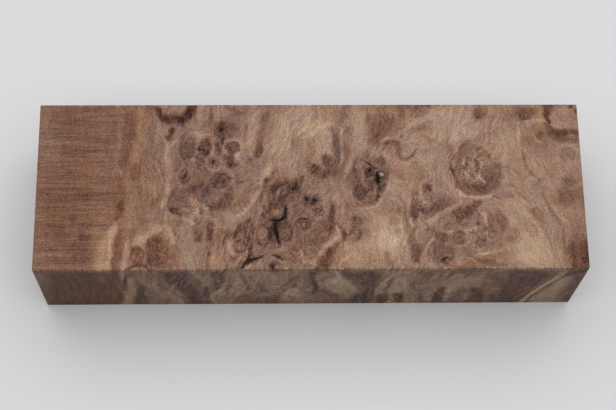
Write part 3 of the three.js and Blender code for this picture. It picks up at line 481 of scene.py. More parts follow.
# Small marks with a firmer edge: x, y, half length, half width, turn, tone, warmth, strength
SPOTS = [
    (-57.4, 3.6, 0.9, 0.8, 0, 0.32, 0.1, 0.6),
    (-56, -8.3, 1, 0.8, 0, 0.31, 0, 0.7),
    (-53.4, -13.2, 1.3, 1, 0, 0.31, 0, 0.7),
    (-53.2, -3.2, 1, 1.6, 0, 0.34, 0.2, 0.5),
    (-41.3, -17.4, 0.2, 0.6, -30, 0.6, 0.2, 0.7),
    (-32.3, -6.3, 1.1, 0.8, -15, 0.2, 0.1, 0.9),
    (-31, -7.3, 0.8, 0.4, -35, 0.32, 0.1, 0.7),
    (-25.9, -6.3, 0.5, 1, 0, 0.32, 0.3, 0.85),
    (-24.2, -17.3, 0.4, 0.5, 0, 0.25, 0.3, 0.8),
    (-18.6, -18.2, 0.7, 0.7, 0, 0.36, 0.5, 0.8),
    (-14.5, 6.3, 0.5, 0.9, -30, 0.34, 0.3, 0.8),
    (-17.5, 0.8, 1.2, 0.6, 15, 0.42, 0.2, 0.6),
    (-8.9, -1, 0.9, 1.5, -10, 0.27, 0.2, 0.9),
    (-10.7, 1, 0.6, 0.9, 0, 0.3, 0.15, 0.85),
    (-9.6, -6, 1.3, 1.3, 0, 0.36, 0.1, 0.7),
    (-11.2, -7.4, 0.7, 0.5, 0, 0.28, 0.5, 0.8),
    (-5.2, -13.2, 0.5, 1, 15, 0.36, 0.1, 0.7),
    (1.5, -6.6, 1.3, 1.2, 0, 0.38, -0.1, 0.7),
    (1.5, -14, 1.3, 1, 0, 0.32, 0.55, 0.8),
    (3.2, -11.2, 0.7, 1.2, -20, 0.33, 0.6, 0.7),
    (11.1, -8.7, 0.5, 0.6, 0, 0.42, 1, 0.85),
    (10, -8.6, 0.7, 0.8, 0, 0.34, 0.1, 0.8),
    (11.2, -12.4, 0.7, 1.2, -10, 0.34, -0.15, 0.85),
    (8.8, -12.4, 0.6, 0.4, -20, 0.34, 0.7, 0.8),
    (6.8, -5.4, 0.3, 0.9, -30, 0.36, 0.15, 0.8),
    (21.8, 12.5, 0.5, 0.5, 0, 0.38, 0.1, 0.85),
    (17.8, 2.4, 0.7, 1.6, -5, 0.35, 0, 0.85),
    (10.5, 2.5, 1.3, 1.9, -10, 0.35, 0, 0.8),
    (14.1, -0.5, 0.9, 1.2, 20, 0.31, 0, 0.8),
    (26, -6.2, 0.9, 1, 0, 0.34, 0, 0.85),
    (27, -9.8, 0.4, 0.4, 0, 0.34, 0.1, 0.8),
    (30.6, -13.1, 1.9, 1.3, -20, 0.32, 0.2, 0.9),
    (45, -11.4, 0.5, 0.8, -15, 0.35, 0.1, 0.8),
    (54.4, 19.3, 1.4, 1, 0, 0.43, 0.1, 0.7),
    (60, 20.8, 0.6, 0.4, 0, 0.4, 0.1, 0.7),
    (63.4, 20.3, 0.7, 0.5, 0, 0.26, 0.1, 0.85),
    (64.6, 19, 0.4, 0.8, 0, 0.28, 0.1, 0.8),
    (61.3, 1, 1.2, 0.8, 0, 0.41, 0.3, 0.7),
    (59.4, -3.2, 1, 1, 0, 0.4, 0.35, 0.8),
    (55, 12.3, 0.8, 1, 0, 0.4, 0.4, 0.6),
    (-0.3, -4.6, 0.4, 0.4, 0, 0.28, -0.2, 0.8),
    (0.1, 5.3, 1, 0.5, -35, 0.38, 0.25, 0.8),
    (-12.4, 9, 0.9, 2, -8, 0.32, -0.1, 0.9),
    (-14.7, 3.6, 1.3, 0.5, 15, 0.42, 0.2, 0.7),
    (-2.1, -9.9, 0.25, 0.25, 0, 0.6, 0, 0.9),
    (-11.6, -12.4, 0.75, 1.6, -4, 0.47, -0.1, 0.9),
    (-4.3, -0.3, 1.1, 1.9, 15, 0.33, 0, 0.9),
    (-1.1, -3.4, 0.5, 0.9, 15, 0.24, -0.2, 0.9),
    (0.5, -4.1, 0.55, 0.9, -15, 0.24, -0.2, 0.9),
    (1.4, -3.5, 0.3, 0.7, -15, 0.3, -0.2, 0.8),
    (1.8, 3.5, 2.5, 1.4, -38, 0.34, 0.1, 0.95),
    (4, 6.4, 1.3, 1.9, 15, 0.36, 0.15, 0.95),
    (5.2, 3.7, 1.1, 1.7, -10, 0.34, 0, 0.95),
    (-25, 10, 1.4, 2.6, 0, 0.33, 0.1, 0.9),
    (-26.7, 9.4, 0.35, 1.2, -8, 0.22, -0.1, 0.9),
    (-24.7, 7.9, 0.5, 0.6, 0, 0.24, 0.2, 0.8),
    (-26.3, 6.7, 1.1, 1.7, -10, 0.36, -0.1, 0.9),
    (-23, 5.8, 1.4, 1.5, 0, 0.36, -0.1, 0.9),
    (-23.2, 5.8, 0.5, 0.6, 0, 0.27, -0.1, 0.8),
    (-20.8, 13.8, 0.3, 0.9, -15, 0.22, -0.1, 0.8),
    (-19.5, 7.1, 1, 1.3, 0, 0.29, 0.3, 0.95),
    (-18.9, 5.3, 1.2, 0.9, 0, 0.3, 0.3, 0.95),
    (-30, 2.3, 1.4, 2, 0, 0.36, -0.2, 0.9),
    (-29.9, 2.2, 0.35, 0.4, 0, 0.22, -0.1, 0.8),
    (-21.6, 1.4, 2.3, 2.3, 0, 0.34, -0.25, 0.9),
    (-22.6, 0.8, 0.6, 1, -15, 0.25, -0.2, 0.8),
    (-25, -2.8, 1.5, 1.4, 0, 0.38, -0.15, 0.85),
    (-28.5, -0.5, 1.2, 1.7, 15, 0.33, 0.15, 0.9),
    (-17.4, 18.8, 0.9, 0.7, -15, 0.32, 0.4, 0.9),
    (-19, 19.9, 0.9, 0.6, 0, 0.38, 0.3, 0.8),
    (-33.2, 14.2, 0.8, 1.1, -20, 0.24, 0.35, 0.95),
    (-33.9, 12.4, 0.7, 1, -20, 0.27, 0.3, 0.9),
    (-26.6, -11.8, 1.4, 2.6, -5, 0.36, 0, 0.9),
    (-23.9, -11.8, 0.8, 3, 0, 0.29, 0.3, 0.9),
    (-16.8, -15.1, 0.8, 0.8, 0, 0.5, 0.3, 0.8),
    (-23, -9.6, 0.5, 0.5, 0, 0.44, 0.6, 0.7),
    (-21.6, 14.4, 1.6, 2, 0, 0.36, -0.1, 0.9),
    (-21.9, 14.8, 0.3, 0.9, 0, 0.27, -0.1, 0.8),
    (-18.6, 9.8, 1.7, 1.5, 0, 0.34, 0.2, 0.9),
    (-24.8, -0.1, 2.3, 1.3, 5, 0.33, -0.25, 0.9),
    (-23.2, 0.1, 0.8, 0.9, 0, 0.25, -0.2, 0.7),
    (15.9, 1.8, 0.7, 1.9, 0, 0.26, 0, 0.85),
    (11.6, -1.8, 1.6, 1.9, 0, 0.34, 0.05, 0.9),
    (27.6, -0.9, 1.1, 1.2, 0, 0.35, 0.2, 0.9),
    (26.8, -0.6, 0.3, 0.5, 0, 0.27, 0.2, 0.7),
    (24.4, -17, 1.2, 2.1, -6, 0.36, 0.1, 0.9),
    (24.5, -6.4, 1, 2.6, -8, 0.36, -0.15, 0.85),
    (15.6, 8.5, 0.8, 0.3, 20, 0.62, 0.3, 0.7),
    (16.9, 6.2, 0.8, 0.7, -30, 0.4, 0.45, 0.8),
    (10.9, -4.8, 0.3, 0.3, 0, 0.3, 0.1, 0.8),
    (40.9, 18.6, 1.4, 1.8, 0, 0.39, 0.35, 0.9),
    (62.2, -20.4, 1.5, 0.5, 0, 0.28, 0.3, 0.8),
    (42.7, -8.4, 0.6, 1.2, 20, 0.34, 0.1, 0.8),
    (61.8, 7.4, 1.1, 0.9, 0, 0.47, -0.1, 0.7),
    (64.4, -18.3, 1.2, 1.8, 0, 0.3, 0.35, 0.8),
    (-36.6, -14.6, 2, 1.8, 20, 0.35, 0.75, 0.9),
    (-36.6, -17.8, 2.2, 2.4, 0, 0.33, 0.75, 0.85),
    (-34.4, -17, 1.4, 2.6, 0, 0.39, 0.85, 0.8),
    (-40.9, -16.4, 1.4, 1, 10, 0.32, 0.75, 0.9),
    (-40.2, -18.4, 1.2, 1.2, 0, 0.38, 0.7, 0.8),
    (-41.7, 3.4, 1.3, 2.6, 0, 0.41, 0.9, 0.85),
    (41, 17.9, 0.8, 0.6, 0, 0.36, 0.5, 0.8),
    (44.6, -8.9, 1.4, 2.4, 22, 0.37, 0.15, 0.85),
    (-4.5, 0, 1.1, 1.6, -20, 0.3, 0, 0.85),
    (-7.2, -3.7, 1.3, 1.5, 0, 0.3, 0, 0.85),
    (-9.9, -7.2, 1.8, 1.2, 0, 0.34, 0.1, 0.85),
    (-6.1, -11.2, 1.1, 2.3, 0, 0.35, 0.1, 0.8),
    (16.7, 1.2, 1.2, 2.8, 0, 0.32, 0, 0.8),
    (10, 1.8, 1.4, 2.1, 20, 0.39, 0.05, 0.8),
    (1.2, 3.6, 2.1, 1.3, -35, 0.37, 0.2, 0.8),
    (3.9, 5.4, 1.1, 2.6, 12, 0.34, 0.3, 0.85),
    (5.9, 3.9, 1.1, 1.4, 0, 0.35, 0.2, 0.8),
    # two painted highlights: white glints beside the pockets
    (16.6, 2.7, 0.4, 0.5, 20, 1, -0.3, 1),
    (-8.4, -20.3, 0.35, 0.3, 0, 0.9, -0.2, 1),
    (-2.1, -10, 0.4, 0.4, 0, 0.75, -0.2, 0.9),
    (-8.3, -6.8, 0.7, 0.9, 0, 0.6, 0, 0.7),
    (-10.6, 1.2, 0.5, 0.9, -20, 0.28, 0.3, 0.8),
    (-14.9, -11.2, 0.35, 1.9, -3, 0.55, 0.2, 0.6),
    (-14.8, -15.2, 0.25, 0.2, 0, 0.85, 0, 0.8),
    (-15.1, -16.6, 0.2, 0.2, 0, 0.8, 0, 0.8),
]

# Eyes, where a spike crosses the top face: x, y, half length, half width, turn, how dark, rings
EYES = [
    (-36.4, -16.6, 2.6, 3.6, 0, 0.05, 0.8),
    (-2, -10, 1.4, 1.3, 0, 0.4, 1.4),
    (-9.3, -20.2, 4.2, 3, 0, 0, 1.3),
    (-9.3, -20.2, 0.9, 0.8, 0, 0.9, 1),
    (1.4, -6.4, 1.7, 1.5, 0, 0.3, 1.2),
    (13.8, 3.5, 1.4, 1.5, 0, 0.4, 1.2),
    (14.3, 1.2, 4, 6, -8, 0.2, 0.8),
    (20.3, 9, 3.4, 3.2, 0, 0, 0.7),
    (30.6, -17.2, 3, 2.8, 0, 0.35, 1.3),
    (34.5, -13.2, 1.8, 1.7, 0, 0.3, 1.3),
    (39.5, -14.6, 2, 1.8, 0, 0.2, 1.4),
    (39.3, 3.9, 5.3, 6.2, 0, 0.15, 0.8),
    (24.4, -6.4, 1.2, 2.8, -8, 0.15, 0.9),
    (24.3, -17.1, 1.6, 2.6, -6, 0.1, 0.8),
    (61.4, 0.9, 1.7, 1.4, 0, 0.1, 1),
    (52.9, -1.8, 2.4, 2.4, 0, 0, 0.8),
    (0.3, -4.1, 2.2, 1.9, 0, 0.15, 1.2),
    (-29.6, 10, 1.9, 3.6, 0, 0.25, 1),
    (-25.2, 10, 1.5, 2.6, 0, 0.2, 1),
    (-26.3, 6.7, 1.1, 1.6, 0, 0.2, 0.8),
    (-23, 5.8, 1.3, 1.4, 0, 0.2, 1),
    (-21.6, 14.4, 1.7, 2, 0, 0.2, 0.8),
    (-18.6, 9.8, 1.7, 1.5, 0, 0.2, 0.9),
    (-30, 2.3, 1.3, 1.9, 0, 0.2, 1.2),
    (-21.6, 1.4, 2.3, 2.3, 0, 0.25, 1.3),
    (-25, -2.8, 1.5, 1.4, 0, 0.2, 1),
    (-31.4, -3.2, 2.4, 2.3, 0, 0.1, 1),
    (11.6, -1.8, 1.5, 1.8, 0, 0.1, 1),
    (27.6, -0.9, 1.3, 1.3, 0, 0.15, 1),
    (34.8, -13.2, 2, 2, 0, 0.1, 1.3),
    (44, -9.3, 2.2, 2.8, 25, 0, 0.8),
    (61.8, 7.6, 2.2, 2.2, 0, 0, 1),
    (62, 0.8, 1.9, 1.5, 0, 0.1, 1),
]

# Where the surface is curly: x, y, half length, half width, strength
CURLY = [
    (39, -13.2, 3.8, 3.8, 0.9),
    (34, 4, 1, 3.4, 0.9),
    (26.6, -4, 2.8, 4, 0.8),
    (1.6, -6.6, 2.2, 2.6, 0.9),
    (-26, -6.5, 4, 3.4, 0.7),
    (-16, -16, 3, 3, 0.5),
    (-1.5, -17.5, 2.6, 3, 0.8),
    (13.6, 1, 3.6, 5, 0.5),
    (9, -10.8, 3, 3, 0.7),
    (-22, 7, 7, 7, 0.3),
    (37, -19.5, 4, 1.6, 0.6),
    (-9, -5, 3, 5, 0.4),
    (38.4, 3.6, 3.4, 3.8, 0.9),
]

# How the growth lines lean across the top face: x, half width of the window, millimetres of x per mm of y
LEANS = [(-8, 14, -0.45), (32, 9, -0.25), (54, 10, 0.38), (20, 6, 0.05)]

# Streaks in the front face, where the grain runs down: tone, warmth, strength, then points x, z, half width
FRONT_STREAKS = [
    # the plain end
    (0.37, 0.6, 0.95, [(-56.5, 28, 9.5), (-56.5, -1, 9)]),
    (0.46, 0.3, 0.8, [(-42.6, 27, 1.6), (-42.2, 22, 1.4)]),
    (0.6, 0.5, 0.95, [(-43, 21.5, 0.5), (-43, 17, 1), (-43.2, 11, 1.1), (-43.8, 6, 1), (-45.4, 0, 1.1)]),
    (0.37, 0.1, 0.9, [(-41.3, 14, 0.6), (-41.1, 8, 1.4), (-41.6, 2, 1.8), (-41.8, -1, 1.8)]),
    (0.44, 0, 0.8, [(-41.2, 20, 0.6), (-41.3, 15.5, 0.8)]),
    (0.52, 0, 0.85, [(-38.4, 26, 1.6), (-38, 20, 1.6), (-37.6, 10, 2), (-37.2, 5, 1.8), (-37, -1, 1.8)]),
    (0.6, 0.2, 0.8, [(-36.8, 21, 0.5), (-37.2, 17.5, 0.9), (-37.5, 16, 0.5)]),
    (0.58, 0.1, 0.8, [(-39.7, 19, 0.25), (-39.4, 15.6, 0.4), (-38, 15, 0.4), (-35.6, 15, 0.3)]),
    (0.35, 0, 0.95, [(-31.8, 28, 3.4), (-31.8, 20, 3.2), (-30.4, 14, 2.5), (-28.6, 9, 2.3),
        (-28.8, -1, 2.6)]),
    (0.59, 0, 0.9, [(-31.8, 18, 0.3), (-33.2, 14.5, 0.5), (-34.1, 11, 0.6), (-33.4, 7, 0.9), (-33, 2, 1.2),
        (-33.2, -1, 1.2)]),
    # the left half of the burl
    (0.56, -0.1, 0.9, [(-27.6, 27.5, 1.3), (-26.6, 23, 1), (-25.6, 19, 0.5)]),
    (0.45, -0.1, 0.7, [(-27, 20, 0.8), (-26.6, 14, 0.6), (-26, 8, 0.5)]),
    (0.37, 0, 0.9, [(-25.2, 14, 0.5), (-25.2, 6, 0.9), (-25.3, -1, 0.8)]),
    (0.37, 0, 0.9, [(-22, 27.5, 1.8), (-22.2, 18, 1.5), (-22.8, 12, 0.9)]),
    (0.55, -0.1, 0.8, [(-23.8, 25, 0.2), (-23.5, 17, 0.3), (-23.4, 12, 0.25)]),
    (0.6, 0.1, 0.85, [(-21.4, 11, 1), (-21.8, 5, 1.4), (-21, -1, 1.2)]),
    (0.68, 0.15, 0.9, [(-20.3, 17.5, 0.3), (-21, 14, 0.4), (-22.2, 11, 0.6), (-23.4, 8, 0.6), (-23.9, 5, 0.5),
        (-23.3, 1.5, 0.6)]),
    (0.58, 0.1, 0.9, [(-16.5, 27.5, 3.8), (-16, 20, 3.8), (-17, 14, 3), (-18, 9, 1.8)]),
    (0.58, 0.1, 0.9, [(-8.5, 27.5, 4), (-9, 20, 3.6), (-8.4, 15, 3.2)]),
    (0.42, 0.4, 0.8, [(-17.2, 27, 0.4), (-16.4, 22, 0.5), (-15.6, 17, 0.5), (-15.2, 11, 0.3)]),
    (0.44, 0.1, 0.7, [(-19.2, 22, 0.3), (-19.6, 17, 0.4), (-18.6, 13, 0.3)]),
    (0.66, 0.2, 0.7, [(-17.4, 20, 0.3), (-18.4, 15, 0.5), (-19.4, 11, 0.3)]),
    (0.34, 0.2, 0.8, [(-14.6, 22.6, 0.5), (-14.4, 21.8, 0.4)]),
    (0.44, 0.3, 0.6, [(-12.8, 17, 0.4), (-12.2, 14, 0.6), (-11, 11, 0.4)]),
    (0.46, 0.45, 0.85, [(-16.5, 8, 2.8), (-16, -1, 3.4)]),
    (0.44, 0.45, 0.85, [(-10.4, 8.5, 1.8), (-10.6, 3, 2.6), (-10, -1, 2.6)]),
    (0.4, 0.2, 0.8, [(-4.4, 21, 0.4), (-5.8, 17, 0.5), (-7.6, 12.5, 0.6), (-8.6, 8, 0.6)]),
    (0.65, 0.25, 0.95, [(-3.6, 13, 0.8), (-4.4, 9.5, 2.3), (-4, 6, 2.7), (-3, 2.5, 2)]),
    (0.62, 0.2, 0.85, [(-2.2, 20.5, 0.4), (-2.6, 17.5, 1.1), (-2.4, 15, 1.2)]),
    (0.42, 0.3, 0.7, [(-4, 16, 0.3), (-3.4, 14.2, 0.3), (-1.2, 13.6, 0.3)]),
    # the middle
    (0.31, 0.25, 0.95, [(-0.2, 27.5, 0.7), (0.2, 22, 0.7), (0.9, 17, 0.8), (1.4, 13, 0.7), (0.8, 9, 0.5)]),
    (0.63, 0.15, 0.95, [(3.3, 27.5, 2), (4.5, 21, 2.8), (6.5, 16, 4), (7.4, 12, 3.8)]),
    (0.7, 0.15, 0.85, [(5.6, 26, 0.25), (6.3, 23, 0.4), (6.2, 20.5, 0.8), (6, 17, 0.8)]),
    (0.46, 0, 0.6, [(2.6, 20, 0.6), (3.2, 17.5, 0.7)]),
    (0.47, 0.25, 0.85, [(2.4, 10.5, 1.6), (4, 6, 2.8), (4, -1, 3.4)]),
    (0.56, 0.3, 0.8, [(9.4, 10, 1.3), (9.6, 6, 1.4), (10.2, 2.6, 0.9)]),
    (0.6, 0.1, 0.7, [(2.6, 9.4, 0.3), (3.9, 7, 0.4), (4.8, 4.2, 0.3)]),
    (0.35, -0.15, 0.95, [(8.2, 26.5, 1.2), (9.6, 22.5, 2.2), (12.6, 19, 3.2), (13.8, 13, 2.2), (14, 8, 2.3),
        (12.6, 2.5, 3.6)]),
    (0.37, -0.1, 0.9, [(13.4, 27.5, 3.2), (14, 22, 2.8)]),
    (0.6, 0.1, 0.85, [(20.6, 27.5, 3.8), (20.2, 24.5, 2.4)]),
    (0.66, 0.05, 0.9, [(19.2, 22.5, 0.3), (17.8, 19, 0.35), (17, 16, 0.5), (16.4, 12, 0.7), (16.2, 8, 0.6),
        (16.4, 4, 0.3), (16.1, 0, 0.4)]),
    (0.4, 0.2, 0.7, [(19.4, 20, 0.4), (18.8, 16, 0.5), (18.3, 11, 0.5), (18.6, 8, 0.4)]),
    (0.62, 0.1, 0.8, [(18.3, 20, 0.2), (18, 17, 0.3), (17.6, 13, 0.3)]),
    (0.64, 0.25, 0.9, [(21.6, 20, 1.4), (21.4, 16, 2.2), (21, 12, 2), (20.6, 9.6, 1.4)]),
    (0.32, 0.75, 0.9, [(17.9, 7, 1.4), (17.8, 4, 1.9), (17.4, 1, 1.4)]),
    (0.34, 0.75, 0.9, [(21.4, 8, 0.9), (21.8, 5, 1.3), (22.4, 2, 1)]),
    (0.6, 0.3, 0.8, [(20, 5, 0.5), (20, -1, 0.8)]),
    # the right part
    (0.43, 0.05, 0.9, [(27.2, 27.5, 2.8), (27, 21, 1.9), (26.4, 17, 1.6)]),
    (0.55, 0.2, 0.8, [(24.8, 14, 1.3), (25.2, 9, 1.8), (25.4, -1, 2.2)]),
    (0.4, 0.3, 0.7, [(24.4, 17, 0.4), (25, 12, 0.4), (26.8, 10, 0.4), (27.6, 4, 0.4)]),
    (0.58, 0.1, 0.8, [(29.5, 25, 0.5), (29.6, 16, 0.9), (29.6, 10, 0.9), (29.2, 4, 1.2)]),
    (0.6, -0.05, 0.9, [(34.4, 21, 3.6), (35, 16, 4.2), (35.2, 13, 3)]),
    (0.43, 0.25, 0.8, [(31.2, 27, 0.7), (30.6, 23, 0.5), (30.4, 20, 0.3)]),
    (0.42, 0.25, 0.8, [(34, 27, 0.7), (33, 23, 0.7), (32.2, 20, 0.3)]),
    (0.41, 0.25, 0.8, [(38.2, 27, 0.8), (37, 23, 0.9), (36.2, 20, 0.3)]),
    (0.35, 0.3, 0.9, [(32, 13, 0.5), (31.6, 8, 1.1), (31.5, -1, 1.6)]),
    (0.64, 0.05, 0.85, [(34.4, 15, 0.6), (33.8, 10, 0.8), (33.6, 6, 0.8), (33.8, 2, 0.5)]),
    (0.48, 0.25, 0.8, [(36.6, 11, 1.4), (36.6, 6, 1.9), (36.8, -1, 2.4)]),
    (0.62, 0.2, 0.8, [(38.5, 7, 0.25), (38.8, 1, 0.3)]),
    (0.35, 0.1, 0.95, [(40.4, 12, 1), (41, 7, 2), (41.2, -1, 2.4)]),
    (0.58, 0, 0.8, [(40.8, 26, 0.8), (39.8, 20, 0.9), (40.6, 14, 0.9)]),
    (0.46, -0.1, 0.8, [(43.4, 24, 0.9), (43.4, 16, 1.3), (44.2, 9, 1.3), (44.4, 4, 1)]),
    (0.37, 0.1, 0.95, [(50.6, 27.5, 5.8), (49.8, 20, 5), (49.8, 13, 4.4), (49.2, 6, 4.6), (48.6, -1, 4.8)]),
    (0.31, 0.2, 0.8, [(55.2, 23, 1), (54.4, 19, 1.1), (53.6, 14, 0.7)]),
    (0.47, -0.05, 0.6, [(46.8, 21, 0.5), (46.2, 14, 0.5), (46.4, 8, 0.7)]),
    (0.58, 0, 0.85, [(58.9, 27.5, 1.1), (59.4, 23, 1.3)]),
    (0.63, 0.1, 0.9, [(61.2, 20, 1.2), (59.6, 13, 1.8), (58.6, 8, 2.4), (57.6, -1, 3)]),
    (0.6, 0, 0.8, [(63.8, 9, 1.6), (62.8, -1, 2.4)]),
    (0.5, 0.3, 0.8, [(59.6, 19, 0.4), (57.8, 14, 0.5), (56.4, 9.5, 0.6), (55.5, 4, 0.5)]),
    (0.68, 0.15, 0.95, [(58.8, 20.6, 0.6), (57.2, 16.5, 0.6), (55.8, 12.5, 0.6), (54.8, 9, 0.7),
        (53.9, 5, 0.7), (53, 0, 0.8)]),
    (0.42, 0.1, 0.85, [(64.8, 19, 1), (63.8, 14, 1), (62.8, 10, 0.8), (61.8, 6.6, 0.5)]),
    (0.25, 0.5, 0.95, [(60.4, 22.4, 0.5), (62.2, 24, 0.9), (64.4, 26, 1), (65.6, 26.8, 0.8)]),
    # soft shades over the others
    (0.33, 0.4, 0.6, [(-46, 27, 0.8), (-45.4, 18, 0.7), (-45, 12, 0.6)]),
    (0.35, 0.5, 0.5, [(-48.4, 27, 1), (-48.4, 4, 1)]),
    (0.44, 0.5, 0.4, [(-55.6, 9, 3.4), (-55.6, 4, 3.4)]),
    (0.56, 0.2, 0.4, [(-42.8, 17, 0.9), (-42, 14, 0.9)]),
    (0.59, 0.1, 0.4, [(-38.6, 15.5, 1.2), (-36.6, 13.5, 1.2)]),
    (0.5, 0, 0.35, [(-32, 20, 0.9), (-31.8, 14, 0.9)]),
    (0.38, 0, 0.5, [(-28.8, 23, 1), (-28.4, 17, 1)]),
    (0.58, 0.1, 0.4, [(-21.8, 19, 1.2), (-21, 16, 1.2)]),
    (0.58, 0.1, 0.4, [(-26, 4, 1.2), (-22.4, 5, 1.4)]),
    (0.61, 0.15, 0.5, [(-19.6, 4, 1), (-18.6, 8, 1.6), (-15.6, 10, 1.4)]),
    (0.59, 0.1, 0.55, [(-12.2, 7, 1.4), (-10, 8.6, 1.6), (-7.6, 10.4, 1.2)]),
    (0.42, 0.3, 0.5, [(-4.4, 6, 0.9), (-3.6, 1, 1.6)]),
    (0.56, 0.2, 0.5, [(-1.6, 11, 0.8), (-1.2, 8, 1), (0.2, 4, 1.3)]),
    (0.57, 0.2, 0.4, [(2.6, 6, 1), (3.6, 2.5, 1.4)]),
    (0.46, 0.3, 0.45, [(-0.2, 27, 1), (0.2, 22, 1), (0.8, 18, 0.8)]),
    (0.63, 0.1, 0.45, [(3.2, 16, 1), (3.6, 13.4, 1)]),
    (0.42, 0.2, 0.4, [(3.8, 25, 1), (4.6, 21.5, 1)]),
    (0.45, 0.4, 0.35, [(18.4, 4, 1.2), (22, 2.6, 1.2)]),
    (0.56, 0, 0.35, [(26, 21, 1.2), (26.2, 17.5, 1)]),
    (0.59, 0, 0.5, [(40.2, 20, 1.2), (39.2, 14, 1.4)]),
    (0.5, 0, 0.45, [(46.4, 22, 0.8), (46, 14, 0.8)]),
    (0.36, 0.1, 0.6, [(57.6, 27, 1.2), (56.6, 21, 1.2), (55.4, 15, 0.8)]),
    (0.67, 0.1, 0.55, [(56.8, 7, 1), (55.8, 2, 1.6)]),
    (0.64, 0.05, 0.6, [(64.2, 18, 1.2), (63.6, 8, 1.8), (62.8, -1, 2)]),
    (0.6, 0.05, 0.45, [(61, 22, 0.9), (62.4, 18, 1.1)]),
]

